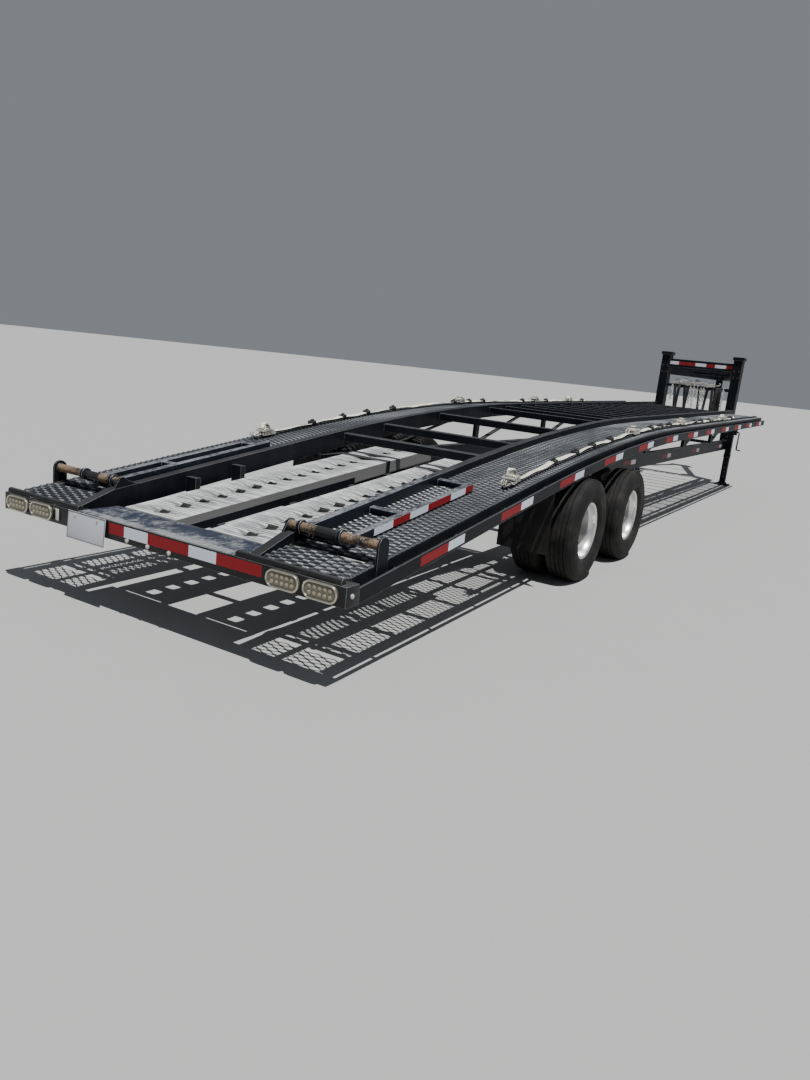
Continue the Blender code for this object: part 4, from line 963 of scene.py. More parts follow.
@dataclass
class ExpandedMesh:
    """Raised expanded steel: rows of tilted strands that meet in bonds."""

    line: DeckLine
    at: Placer
    long_way: float = 0.1016
    short_way: float = 0.0468
    bond: float = 0.0240
    strand: float = 0.0098
    thick: float = 0.0040
    tilt: float = math.radians(27)
    rise: float = 0.0014
    depth: float = 0.0108
    # Gap between the short tail sheet and the long one, ahead of the bumper's rear face
    gap: Span = (0.274, 0.298)

    def _row(self, low_x: float, high_x: float, first: int) -> Model:
        """One strand that zigzags across the sheet, its wide face leaning to the rear.

        Args:
            low_x: Where it starts.
            high_x: Where it ends.
            first: 0 or 1, the side of its first bond.

        Returns:
            The strand.
        """
        model = Model()
        half = self.long_way / 2
        count = math.ceil((high_x - low_x) / half)
        along = Vector((math.cos(self.tilt), math.sin(self.tilt))) * self.strand / 2
        through = Vector((-math.sin(self.tilt), math.cos(self.tilt))) * self.thick / 2
        section = [tuple(-along - through), tuple(along - through), tuple(along + through), tuple(through - along)]
        reach = self.short_way / 4 - along.x
        knots, sides = [], []
        for i in range(count + 1):
            for step in (-self.bond / 2, self.bond / 2):
                knots.append(low_x + i * half + step)
                sides.append(1.0 if (i + first) % 2 else -1.0)
        places = [low_x] + [x for x in knots if low_x < x < high_x] + [high_x]
        ways = [float(way) for way in np.interp(places, knots, sides)]
        frames = [Matrix(((0, 0, 1, x), (1, 0, 0, way * reach), (0, 1, 0, -self.depth / 2 - way * self.rise),
                          (0, 0, 0, 1))) for x, way in zip(places, ways)]
        rub = model.bm.verts.layers.float.new(WEAR_GLINT_SHADE)
        # the raised side of each bond and the strand's ends get 1: the material paints them as rubbed bare metal and as
        # a painted highlight
        for i, vert in enumerate(model.sweep(section, frames)):
            at_end = i // len(section) in (0, len(places) - 1)
            vert[rub] = 1.0 if at_end else (1.0 - ways[i // len(section)]) / 2
        return model

    def sheet(self, name: str, low: Point, high: Point, lift: float = 0.0) -> Mesh:
        """Sheet of mesh laid on the deck line.

        Args:
            name: The mesh's name.
            low: Lowest (x, y).
            high: Highest (x, y).
            lift: Height of its top over the deck line.

        Returns:
            The laid mesh.
        """
        rows = int((high[1] - low[1]) / self.short_way)
        start = low[1] + ((high[1] - low[1]) - (rows - 0.5) * self.short_way) / 2
        model = Model()
        for first in (0, 1):
            row = self._row(low[0], high[0], first)
            shift = (0.0, start + (first / 2 + 0.25) * self.short_way, 0.0)
            bmesh.ops.translate(row.bm, verts=row.bm.verts, vec=shift)
            model.take(row.mesh("strand_row"))
        base = shown("strand_rows", model.mesh("strand_rows"))
        array = base.modifiers.new("rows", "ARRAY")
        array.count = rows
        array.use_relative_offset = False
        array.use_constant_offset = True
        array.constant_offset_displace = (0.0, self.short_way, 0.0)
        shaped = base.evaluated_get(bpy.context.evaluated_depsgraph_get())
        mesh = bpy.data.meshes.new_from_object(shaped)
        mesh.name = name
        spare = base.data
        bpy.data.objects.remove(base)
        bpy.data.meshes.remove(spare)
        self.line.lay(mesh, lift)
        return mesh

    def build(self) -> None:
        """Lay both tracks, each in a short tail sheet and a long one."""
        for label, _ in SIDES:
            node = f"deck_mesh_{label}"
            low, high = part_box(node)
            model = Model()
            for start, end in ((low.y, self.at(self.gap[0])), (self.at(self.gap[1]), high.y)):
                model.take(self.sheet("sheet", (low.x, start), (high.x, end)))
            piece = Piece(f"expanded_mesh_{label}", Finish.DECK, "deck_steel", replaced=(node,), smooth=30)
            piece.finish_model(model)


@dataclass
class ReflectiveStrips:
    """Red and white strips on the rub rails, the main beams, the bumper, the flip ramps and the front crossbar."""

    line: DeckLine
    at: Placer
    thick: float = 0.0006
    height: float = 0.0508
    first: float = 0.628
    pitch: float = 0.9144
    red_length: float = 0.2794
    white_length: float = 0.1778
    # middle of the strips below the rail's top, and bare length at the rail's front end
    rail_middle: float = 0.038
    rail_end: float = 0.020
    beam_face: float = 0.668
    beam_low: float = 0.632
    beam_stations: tuple[float, ...] = (5.84, 7.46, 9.15, 10.85)
    # lowest and highest height of the strips on a face
    bumper_band: Span = (0.455, 0.513)
    flip_band: Span = (0.009, 0.048)
    front_band: Span = (1.895, 1.948)
    front_bar: float = 11.870
    # finish, left end, right end
    bumper_layout: tuple[tuple[Finish, float, float], ...] = (
        (Finish.RED, -0.315, -0.199), (Finish.WHITE, -0.199, -0.022), (Finish.RED, -0.022, 0.268),
        (Finish.WHITE, 0.268, 0.452), (Finish.RED, 0.452, 0.738))
    front_layout: tuple[tuple[Finish, float, float], ...] = (
        (Finish.WHITE, -0.515, -0.370), (Finish.RED, -0.370, -0.090), (Finish.WHITE, -0.090, 0.088),
        (Finish.RED, 0.088, 0.235), (Finish.WHITE, 0.235, 0.413), (Finish.RED, 0.413, 0.515))
    # finish, start, end
    flip_layout: tuple[tuple[Finish, float, float], ...] = (
        (Finish.WHITE, 0.595, 0.770), (Finish.RED, 0.770, 0.940), (Finish.WHITE, 0.940, 1.130),
        (Finish.RED, 1.130, 1.390), (Finish.WHITE, 1.390, 1.570), (Finish.RED, 1.570, 1.665))

    def _side(self, model: Model, side: int, x: float, start: float, end: float, low: float, high: float) -> None:
        """One strip on a side face that follows the deck line.

        Args:
            model: Takes the strip.
            side: 1 where the face looks right, -1 where it looks left.
            x: The face.
            start: Where the strip starts.
            end: Where it ends.
            low: Its lower edge over the deck line.
            high: Its upper edge.
        """
        places = [start] + [y for y in self.line.stations if start < y < end] + [end]
        model.sweep([(0.0, low), (side * self.thick, low), (side * self.thick, high), (0.0, high)],
                    [standing(x, y, self.line.height(y)) for y in places])

    @staticmethod
    def _publish(models: dict[Finish, Model], place: str, end: str = "", body: str = "root") -> None:
        """Publish the strips of one place, one piece for each colour."""
        for finish, model in models.items():
            Piece(f"{place}_strips_{finish.name.lower()}{end}", finish, body=body).finish_model(model)

    def _pair(self, models: dict[Finish, Model], station: float) -> Iterable[tuple[Model, float, float]]:
        """Model, start and end of the red and the white strip of a pair."""
        start, split = self.at(station), self.at(station) + self.red_length
        return zip(models.values(), (start, split), (split, split + self.white_length))

    def _rub_rails(self) -> None:
        """Pairs along each rub rail."""
        for label, side in SIDES:
            low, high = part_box(f"rub_rail_{label}")
            outer = high.x if side > 0 else low.x
            end = high.y - self.rail_end
            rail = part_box("rub_rail_right")
            top = rail[1].z - self.line.height(rail[1].y)
            middle = top - self.rail_middle
            band = (middle - self.height / 2, middle + self.height / 2)
            models = {Finish.RED: Model(), Finish.WHITE: Model()}
            count = int((end - self.at(self.first)) / self.pitch) + 1
            for i in range(count):
                for model, near, far in self._pair(models, self.first + self.pitch * i):
                    if near < end:
                        self._side(model, side, outer, near, min(far, end), *band)
            self._publish(models, "rail", f"_{label}")

    def _beams(self) -> None:
        """Old pairs on the outer faces of the main beams."""
        models = {Finish.OLD_RED: Model(), Finish.OLD_WHITE: Model()}
        top = self.beam_low + self.height
        for _, side in SIDES:
            face = side * self.beam_face
            for station in self.beam_stations:
                for model, near, far in self._pair(models, station):
                    model.cuboid((face, near, self.beam_low), (face + side * self.thick, far, top))
        self._publish(models, "beam")

    def _across(self, place: str, back: float, band: Span,
                layout: Iterable[tuple[Finish, float, float]]) -> None:
        """Strips across a face that looks to the rear.

        Args:
            place: How the pieces' names start.
            back: The face.
            band: Lowest and highest height.
            layout: Finish, left end and right end of each strip.
        """
        models = {Finish.RED: Model(), Finish.WHITE: Model()}
        for finish, left, right in layout:
            models[finish].cuboid((left, back - self.thick, band[0]), (right, back, band[1]))
        self._publish(models, place)

    def _flip_ramps(self) -> None:
        """Strips along the outer bar of each flip ramp."""
        for label, side in SIDES:
            low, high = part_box(f"flip_ramp_{label}")
            outer = high.x if side > 0 else low.x
            models = {Finish.RED: Model(), Finish.WHITE: Model()}
            for finish, start, end in self.flip_layout:
                self._side(models[finish], side, outer, self.at(start), self.at(end), *self.flip_band)
            self._publish(models, "flip", f"_{label}", f"flip_{label}")

    def build(self) -> None:
        """Lay every strip."""
        self._rub_rails()
        self._beams()
        self._across("bumper", self.at(0.0), self.bumper_band, self.bumper_layout)
        self._flip_ramps()
        self._across("front", self.at(self.front_bar), self.front_band, self.front_layout)


@dataclass
class TyreSet:
    """Ribbed highway tyres, one mesh for each packed tyre."""

    centres: Spots
    steps: int = 80
    crown: float = 0.391
    half_width: float = 0.1175
    bead: float = 0.2040
    seat: float = 0.0712
    groove_depth: float = 0.009
    groove_half: float = 0.0042
    # distance of each groove from the middle of the tread
    grooves: tuple[float, ...] = (0.0165, 0.0500)

    def profile(self) -> Outline:
        """Half of the tyre's section from the middle of the tread to the bead, then mirrored."""
        tread: Outline = [(0.0, self.crown)]
        for centre in self.grooves:
            top = self.crown - centre * centre * 0.30
            tread += [(centre - self.groove_half, top), (centre - self.groove_half * 0.6, top - self.groove_depth),
                      (centre + self.groove_half * 0.6, top - self.groove_depth), (centre + self.groove_half, top)]
        # half width, radius
        wall = [(0.0780, 0.3885), (0.0880, 0.3845), (0.0945, 0.3765), (0.0965, 0.3700), (0.1005, 0.3690),
                (0.1060, 0.3560), (0.1105, 0.3420), (0.1112, 0.3400), (0.1122, 0.3395), (0.1130, 0.3365),
                (0.1165, 0.3200), (self.half_width, 0.3030), (0.1160, 0.2800), (0.1125, 0.2600), (0.1130, 0.2580),
                (0.1085, 0.2450), (0.1000, 0.2320), (0.0985, 0.2300), (0.0900, 0.2200), (0.0862, 0.2180),
                (self.seat + 0.0150, 0.2175), (self.seat, self.bead)]
        half = tread + wall
        return half + [(-a, r) for a, r in reversed(half[1:])]

    def build(self) -> None:
        """Make the tyres."""
        profile = self.profile()
        for axle in AXLES:
            for label, _ in SIDES:
                spot = self.centres[f"{axle}_{label}"]
                for place in ("inner", "outer"):
                    node = f"tyre_{axle}_{label}_{place}"
                    low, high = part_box(node)
                    model = Model()
                    model.lathe(profile, ((low.x + high.x) / 2, spot.y, spot.z), self.steps)
                    piece = Piece(f"ribbed_{node}", Finish.TYRE, "tyre_rubber", f"wheel_set_{axle}_{label}", (node,))
                    piece.finish_model(model)


@dataclass
class WheelSet:
    """Dual steel wheels: two dished rims, hub, studs and brake drum."""

    centres: Spots
    steps: int = 72
    spacing: float = 0.275
    rim_radius: float = 0.2035
    flange: float = 0.0125
    rim_width: float = 0.169
    skin: float = 0.006
    disc: float = 0.010
    holes: int = 8
    hole_ring: float = 0.150
    hole_radius: float = 0.0165
    drill: float = 0.12
    stud_ring: float = 0.0825
    studs: int = 8
    cap_ring: float = 0.051
    cap_screws: int = 6
    ribs: int = 5
    rib_first: float = 0.075
    rib_pitch: float = 0.030

    def _rim(self) -> Outline:
        """Section of the outer rim with its disc, from the centre bore round to the bore again."""
        lip = self.spacing / 2 + self.rim_width / 2
        back = self.spacing / 2 - self.rim_width / 2
        barrel = self.rim_radius - 0.021
        skin = self.skin
        outside = [(0.001, 0.060), (0.001, 0.123), (0.012, 0.142), (0.040, 0.168), (0.050, barrel - 0.001),
                   (back + 0.006, self.rim_radius - 0.004), (back, self.rim_radius + self.flange)]
        face = [(back + 0.004, self.rim_radius + self.flange), (back + 0.010, self.rim_radius + 0.001),
                (back + 0.035, self.rim_radius), (back + 0.045, barrel + skin), (lip - 0.055, barrel + skin),
                (lip - 0.042, self.rim_radius), (lip - 0.010, self.rim_radius + 0.001),
                (lip - 0.005, self.rim_radius + self.flange), (lip, self.rim_radius + self.flange)]
        inside = [(lip, self.rim_radius + self.flange - 0.004), (lip - 0.008, self.rim_radius - 0.005),
                  (lip - 0.040, self.rim_radius - 0.007), (lip - 0.056, barrel), (0.070, barrel),
                  (0.058, barrel - 0.003), (0.046, 0.166), (0.020, 0.140), (self.disc, 0.121), (self.disc, 0.060)]
        return outside + face + inside

    def _rims(self, spot: Vector, side: int) -> Mesh:
        """Both rims of a dual set with their hand holes."""
        profile = self._rim()
        model = Model()
        model.lathe(profile, spot, self.steps, flip=side)
        model.lathe(profile, spot, self.steps, flip=-side)
        drill = Model()
        reach = Vector((self.drill, 0.0, 0.0))
        for across in ring(self.holes, self.hole_ring, 0.5):
            drill.rod(spot + across - reach, spot + across + reach, self.hole_radius, 18)
        return carved(model, drill)

    def _hub(self, spot: Vector, side: int) -> Model:
        """Hub with its oil cap, studs and nuts."""
        model = Model()
        hub = [(0.0105, 0.0), (0.0105, 0.098), (0.017, 0.100), (0.020, 0.096), (0.022, 0.064), (0.034, 0.058),
               (0.080, 0.0545), (0.086, 0.050), (0.088, 0.046), (0.118, 0.044), (0.1215, 0.040), (0.122, 0.0)]
        model.lathe(hub, spot, 40, closed=False, flip=side)
        # how many, ring, shift, start, end, radius, sides, radius at the end
        fasteners = ((self.studs, self.stud_ring, 0.0, 0.018, 0.040, 0.0165, 6, None),
                     (self.studs, self.stud_ring, 0.0, 0.040, 0.044, 0.0150, 12, 0.0105),
                     (self.studs, self.stud_ring, 0.0, 0.044, 0.058, 0.0078, 10, None),
                     (self.cap_screws, self.cap_ring, 0.5, 0.080, 0.092, 0.0050, 6, None))
        for count, around, shift, start, end, radius, sides, tip in fasteners:
            for across in ring(count, around, shift):
                near, far = (spot + across + Vector((side * along, 0, 0)) for along in (start, end))
                model.rod(near, far, radius, sides, tip)
        return model

    def _drum(self, spot: Vector, side: int) -> Model:
        """Brake drum behind the inner rim with its cooling ribs."""
        model = Model()
        rim = [(-0.0105, 0.062), (-0.0105, 0.118), (-0.035, 0.150), (-0.060, 0.1555)]
        for i in range(self.ribs):
            start = -self.rib_first - i * self.rib_pitch
            rim += [(start, 0.1515), (start - 0.012, 0.1515), (start - 0.015, 0.1560), (start - 0.027, 0.1560)]
        rim += [(-0.235, 0.1560), (-0.235, 0.1440), (-0.060, 0.1380), (-0.030, 0.110), (-0.030, 0.062)]
        model.lathe(rim, spot, self.steps, flip=side)
        model.lathe([(-0.0105, 0.058), (-0.220, 0.058), (-0.220, 0.036), (-0.0105, 0.036)], spot, 32, flip=side)
        return model

    def build(self) -> None:
        """Make the four dual sets."""
        for axle in AXLES:
            for label, side in SIDES:
                key = f"{axle}_{label}"
                spot, body = self.centres[key], f"wheel_set_{key}"
                rims = Piece(f"rims_{key}", Finish.WHEEL, "wheel_silver", body, (f"wheel_{key}",))
                rims.publish(self._rims(spot, side))
                Piece(f"hub_{key}", Finish.DRUM, "wheel_silver", body).finish_model(self._hub(spot, side))
                Piece(f"drum_{key}", Finish.DRUM, "running_gear", body).finish_model(self._drum(spot, side))


@dataclass
class RearLamps:
    """Oval lamps, marker lamps and the bumper that holds them."""

    at: Placer
    lamp_xs: tuple[float, ...] = (0.870, 1.085)
    marker_xs: tuple[float, ...] = (-0.174, -0.020, 0.134)
    lamp_z: float = 0.474
    marker_z: float = 0.442
    width: float = 0.197
    height: float = 0.090
    lens_inset: float = 0.020
    bezel: Span = (0.006, 0.010)
    diode_pitch: float = 0.029
    diode_rise: float = 0.0145
    tube_top: float = 0.100
    tube_depth: float = 0.10
    lip: float = 0.017
    lip_start: float = 0.571

    @staticmethod
    def _oval(width: float, height: float, steps: int = 12) -> Outline:
        """Oval outline with straight long sides, centred, as (x, z) points."""
        radius = height / 2
        reach = width / 2 - radius
        outline = []
        for end, first in ((1, -math.pi / 2), (-1, math.pi / 2)):
            for i in range(steps + 1):
                angle = first + math.pi * i / steps
                outline.append((end * reach + radius * math.cos(angle), radius * math.sin(angle)))
        return outline

    def _shell(self, model: Model, x: float, width: float, height: float, start: float, reach: float) -> None:
        """Oval plate with a rounded front.

        Args:
            model: Takes the plate.
            x: Its middle.
            width: Its width.
            height: Its height.
            start: Where its back stands behind the bumper's rear face.
            reach: Where its front stands.
        """
        rear = self.at(0.0)
        crown = 0.004
        rings = [(0.0, start), (0.0, reach - crown), (0.0015, reach - crown * 0.35), (0.005, reach)]
        model.skin([(x + px, rear - depth, self.lamp_z + pz)
                    for px, pz in self._oval(width - 2 * inset, height - 2 * inset)] for inset, depth in rings)

    def _bezel(self, model: Model, x: float) -> None:
        """Rolled ring round one lamp."""
        rear = self.at(0.0)
        roll, reach = self.bezel
        outline = [Vector(point) for point in self._oval(self.width - 2 * roll, self.height - 2 * roll, 10)]
        loops = []
        for before, middle, after in zip(outline[-1:] + outline, outline, outline[1:] + outline[:1]):
            along = (after - before).normalized()
            loop = []
            for angle in (2 * math.pi * k / 8 for k in range(8)):
                spot = middle + Vector((along.y, -along.x)) * (roll * math.cos(angle))
                loop.append((x + spot.x, rear - reach - reach * math.sin(angle), self.lamp_z + spot.y))
            loops.append(loop)
        model.skin(loops, closed=True)

    def build(self) -> None:
        """Make the lamps."""
        lens, bezel, diodes, glass = Model(), Model(), Model(), Model()
        rear = self.at(0.0)
        for _, side in SIDES:
            for lamp_x in self.lamp_xs:
                x = side * lamp_x
                self._shell(lens, x, self.width - self.lens_inset, self.height - self.lens_inset, -0.002, 0.0155)
                self._bezel(bezel, x)
                for row in (-1, 1):
                    for i in (-2, -1, 0, 1, 2):
                        spot = (x + i * self.diode_pitch, rear - 0.0150, self.lamp_z + row * self.diode_rise)
                        diodes.bead(spot, 0.0105, 0.42, 12)
        for x in self.marker_xs:
            top = (x, rear - 0.004, self.marker_z)
            glass.rod((x, rear, self.marker_z), top, 0.0125, 18)
            glass.bead(top, 0.0095, 0.7, 14)
        Piece("lamp_lenses", Finish.LENS).finish_model(lens)
        Piece("lamp_bezels", Finish.BEZEL).finish_model(bezel)
        Piece("lamp_diodes", Finish.DIODE).finish_model(diodes)
        Piece("marker_lamps", Finish.GLASS).finish_model(glass)
        self._bumper()

    def _bumper(self) -> None:
        """Bumper tube with its rolled lips."""
        low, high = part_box("rear_bumper")
        rear = self.at(0.0)
        half, top = high.x - 0.010, low.z + self.tube_top
        model = Model()
        model.cuboid((-half, rear, low.z), (half, rear + self.tube_depth, top), 0.004)
        back, height = rear + self.lip, top + self.lip - 0.004
        for _, side in SIDES:
            start = (side * self.lip_start, back, height)
            model.rod(start, (side * (half - 0.030), back, height), self.lip, 20)
            model.rod(start, (side * (self.lip_start - 0.002), back, height), self.lip + 0.0015, 20)
        Piece("bumper_tube", Finish.BUMPER, replaced=("rear_bumper",)).finish_model(model)


@dataclass
class RibbedRamps:
    """Stowed aluminium ramps: a cross-ribbed skin with pressed and punched holes over two channels."""

    at: Placer
    slope: float = 0.100
    length: float = 2.762
    top: float = 0.5278
    station: float = 0.278
    depth: float = 0.089
    wall: float = 0.008
    skin: float = 0.004
    ribs: int = 109
    rib_height: float = 0.0024
    hole_first: float = 0.055
    hole_pitch: float = 0.1524
    hole_count: int = 17
    hole_length: float = 0.074
    hole_width: float = 0.072
    dimple_reach: float = 0.120
    dimple_length: float = 0.062
    dimple_depth: float = 0.024
    # holes whose front edge stands up as a bright lip
    lipped: tuple[int, ...] = (1, 4, 5)
    # distances of the skin's lines from its middle, as shares of its half width
    columns: tuple[float, ...] = (0.0, 0.10, 0.20, 0.30, 0.40, 0.50, 0.62, 0.80, 1.0)

    def _hole_middle(self, index: int) -> float:
        """Middle of a hole along the ramp."""
        return self.hole_first + self.hole_pitch * index + 0.040

    def _dent(self, x: float, y: float) -> float:
        """How deep the skin is pressed at a point."""
        index = min(max(round((y - self._hole_middle(0)) / self.hole_pitch), 0), self.hole_count - 1)
        off = abs(y - self._hole_middle(index)) / self.dimple_length
        return self.dimple_depth * max(0.0, 1.0 - abs(x) / self.dimple_reach - off)

    def _skin(self, half: float) -> Mesh:
        """Ribbed skin with its holes, level, its rear edge at zero."""
        shares = [-share for share in self.columns[:0:-1]] + list(self.columns)
        pitch = self.length / self.ribs
        # place within a rib, height
        steps = ((0.0, -self.rib_height), (0.26, -self.rib_height), (0.33, -0.0003), (0.42, 0.0), (0.84, 0.0),
                 (0.93, -0.0003))
        model = Model()
        low = model.bm.verts.layers.float.new(WEAR_GLINT_SHADE)
        across, along = len(shares) - 1, self.ribs * len(steps)
        bmesh.ops.create_grid(model.bm, x_segments=across, y_segments=along, size=0.5)
        for vert in model.bm.verts:
            column, row = round((vert.co.x + 0.5) * across), round((vert.co.y + 0.5) * along)
            rib, step = divmod(row, len(steps))
            x, y = shares[column] * half, (rib + steps[step][0]) * pitch
            plain = abs(shares[column]) > 0.9
            vert.co = (x, y, 0.0 if plain else steps[step][1] - self._dent(x, y))
            if not plain:
                # painted shade: 0.8 in each rib's valley and more the deeper the dent, which the ramp material darkens
                vert[low] = 0.8 * (step < 2) + 1.5 * self._dent(x, y) / self.dimple_depth
        made = bmesh.ops.extrude_face_region(model.bm, geom=list(model.bm.faces))
        moved = [item for item in made["geom"] if isinstance(item, Vert)]
        bmesh.ops.translate(model.bm, verts=moved, vec=(0.0, 0.0, -self.skin))
        punch = Model()
        for i in range(self.hole_count):
            middle = self._hole_middle(i)
            punch.cuboid((-self.hole_width / 2, middle - self.hole_length / 2, -0.04),
                         (self.hole_width / 2, middle + self.hole_length / 2, 0.02), 0.008)
        return carved(model, punch)

    def _frame(self, model: Model, half: float) -> None:
        """Side channels, rungs and the raised lips of some holes."""
        for side in (1, -1):
            outer = side * half
            model.cuboid((outer, 0.0, -self.depth), (outer - side * self.wall, self.length, -0.0006), 0.0012, 1)
            model.cuboid((outer, 0.0, -self.depth), (outer - side * 0.026, self.length, -self.depth + 0.006), 0.001, 1)
        for i in range(self.hole_count + 1):
            middle = self._hole_middle(i) - self.hole_pitch / 2
            model.cuboid((-half + 0.004, middle - 0.014, -0.046), (half - 0.004, middle + 0.014, -0.003), 0.002, 1)
        for i in self.lipped:
            edge = self._hole_middle(i) + self.hole_length / 2
            lip = [(edge - 0.004, -0.010), (edge + 0.001, -0.010), (edge - 0.006, 0.0055), (edge - 0.009, 0.0050)]
            model.prism([(-self.hole_width / 2, y, z) for y, z in lip], (self.hole_width, 0.0, 0.0))
        for y in (0.0, self.length - 0.006):
            model.cuboid((-half + 0.004, y, -0.060), (half - 0.004, y + 0.006, -0.003), 0.001, 1)

    def build(self) -> None:
        """Make both ramps."""
        for label, _ in SIDES:
            node = f"loading_ramp_{label}"
            low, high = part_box(node)
            half = (high.x - low.x) / 2
            model = Model()
            model.take(self._skin(half - 0.0004))
            self._frame(model, half)
            spot = Vector(((low.x + high.x) / 2, self.at(self.station), self.top))
            model.place(model.bm.verts, Matrix.Translation(spot) @ Matrix.Rotation(math.atan(self.slope), 4, "X"))
            Piece(f"ribbed_{node}", Finish.RAMP, "ramp_aluminium", replaced=(node,), smooth=28).finish_model(model)


@dataclass
class FlipRamps:
    """Flip-over wheel ramps: barred frames over a mesh sheet, with lugs round the hinge pipes."""

    sheet: ExpandedMesh
    at: Placer
    pivots: Spots
    bar: float = 0.045
    guide: float = 0.075
    gap: float = 0.006
    start: float = 0.385
    end: float = 1.670
    rungs: tuple[float, ...] = (0.387, 0.880, 1.623)
    sheet_top: float = 0.010
    lug_radius: float = 0.036
    lug_thick: float = 0.020
    bore: float = 0.0252

    def _lugs(self, side: int, near: float, far: float, pivot: Vector) -> Mesh:
        """Both lugs of one ramp with the hole for the pipe.

        Args:
            side: 1 on the right, -1 on the left.
            near: Distance of the ramp's inner face from the middle.
            far: Distance of its outer face.
            pivot: Middle of the hinge.

        Returns:
            The lugs.
        """
        reach = self.at(self.start) + self.gap
        foot = self.sheet.line.height(self.at(self.start)) + self.gap
        outline = [(reach, foot + self.gap), (reach, foot + self.bar)] + arc(pivot, self.lug_radius, range(45, 271, 15))
        body, drill = Model(), Model()
        for x in (near + 0.002, far - self.lug_thick - 0.002):
            body.prism([(side * x, y, z) for y, z in outline], (side * self.lug_thick, 0.0, 0.0))
        drill.rod((side * (near - 0.03), pivot.y, pivot.z), (side * (far + 0.03), pivot.y, pivot.z), self.bore, 32)
        return carved(body, drill)

    def _frame(self, side: int, near: float, far: float) -> Model:
        """Bars and rungs of one ramp, laid on the deck."""
        model = Model()
        start, end = self.at(self.start), self.at(self.end)
        model.cuboid((side * near, start, 0.0), (side * (near + self.bar), end, self.guide), 0.0035)
        model.cuboid((side * (far - self.bar), start, 0.0), (side * far, end, self.bar), 0.0035)
        for rung in self.rungs:
            low = (side * (near + self.bar - 0.003), self.at(rung), 0.002)
            high = (side * (far - self.bar + 0.003), self.at(rung) + self.bar, self.bar - 0.0015)
            model.cuboid(low, high, 0.0030)
        self.sheet.line.settle(model.bm.verts, self.gap)
        return model

    def build(self) -> None:
        """Make both ramps."""
        for label, side in SIDES:
            node, body = f"flip_ramp_{label}", f"flip_{label}"
            low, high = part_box(node)
            near, far = sorted((abs(low.x), abs(high.x)))
            model = self._frame(side, near, far)
            model.take(self._lugs(side, near, far, self.pivots[label]))
            Piece(f"barred_{node}", Finish.FLIP, body=body, replaced=(node,), smooth=30).finish_model(model)
            edges = sorted((side * (near + self.bar - 0.004), side * (far - self.bar + 0.004)))
            rows = (self.at(self.rungs[0]) + self.bar - 0.006, self.at(self.rungs[-1]) + 0.006)
            mesh = self.sheet.sheet("flip", (edges[0], rows[0]), (edges[1], rows[1]), self.gap + self.sheet_top)
            Piece(f"flip_mesh_{label}", Finish.FLIP_MESH, body=body, smooth=30).publish(mesh)


@dataclass
class HingePipes:
    """Rusty hinge pipes with their welds, between a gusset on the inner rail and an outer ear."""

    line: DeckLine
    at: Placer
    pivots: Spots
    radius: float = 0.024
    ear: float = 0.045
    ear_thick: float = 0.012
    gusset_radius: float = 0.033
    gusset: Span = (0.270, 0.440)
    rail_rise: float = 0.048
    # the collar in the middle of the pipe, along it, and how far it stands out
    collar: Span = (0.790, 0.938)
    collar_rise: float = 0.0006
    shoulder: float = 0.002

    @staticmethod
    def _bead(x: float, radius: float, size: float = 0.0030) -> Outline:
        """Section of a weld bead round the pipe, for the lathe."""
        return [(x + size * math.cos(math.pi * k / 3), radius + size * math.sin(math.pi * k / 3)) for k in range(6)]

    def build(self) -> None:
        """Make both hinges."""
        for label, side in SIDES:
            node = f"hinge_{label}"
            low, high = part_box(node)
            near, far = sorted((abs(low.x), abs(high.x)))
            pivot = self.pivots[label]
            spot = Vector((0.0, pivot.y, pivot.z))
            pipe, plates = Model(), Model()
            end = far - 0.001
            start, soft, raised = near + 0.004, self.shoulder, self.radius + self.collar_rise
            profile = [(start, 0.0), (start, self.radius - soft), (start + soft, self.radius),
                       (self.collar[0], self.radius), (self.collar[0] + soft, raised), (self.collar[1] - soft, raised),
                       (self.collar[1], self.radius), (end - soft, self.radius), (end, self.radius - soft),
                       (end, self.radius - 0.007), (end - 0.006, self.radius - 0.008), (end - 0.006, 0.0)]
            pipe.lathe(profile, spot, 40, closed=False, flip=side)
            for x in (near + self.ear_thick, far - self.ear_thick):
                plates.lathe(self._bead(x, self.radius), spot, 36, flip=side)
            ends = [(self.at(s), self.line.height(self.at(s)) + self.rail_rise) for s in self.gusset]
            outline = ends + arc(pivot, self.gusset_radius, range(30, 121, 10))
            plates.prism([(side * near, y, z) for y, z in outline], (side * self.ear_thick, 0.0, 0.0))
            circle = arc(pivot, self.ear, range(0, 181, 12))
            outline = [(pivot.y + self.ear, low.z)] + circle + [(pivot.y - self.ear, low.z)]
            plates.prism([(side * (far - self.ear_thick), y, z) for y, z in outline],
                         (side * (self.ear_thick - 0.0005), 0.0, 0.0))
            Piece(f"rusty_pipe_{label}", Finish.PIPE, "rusty_pipe", replaced=(node,)).finish_model(pipe)
            Piece(f"hinge_plates_{label}", Finish.FRAME, smooth=30).finish_model(plates)


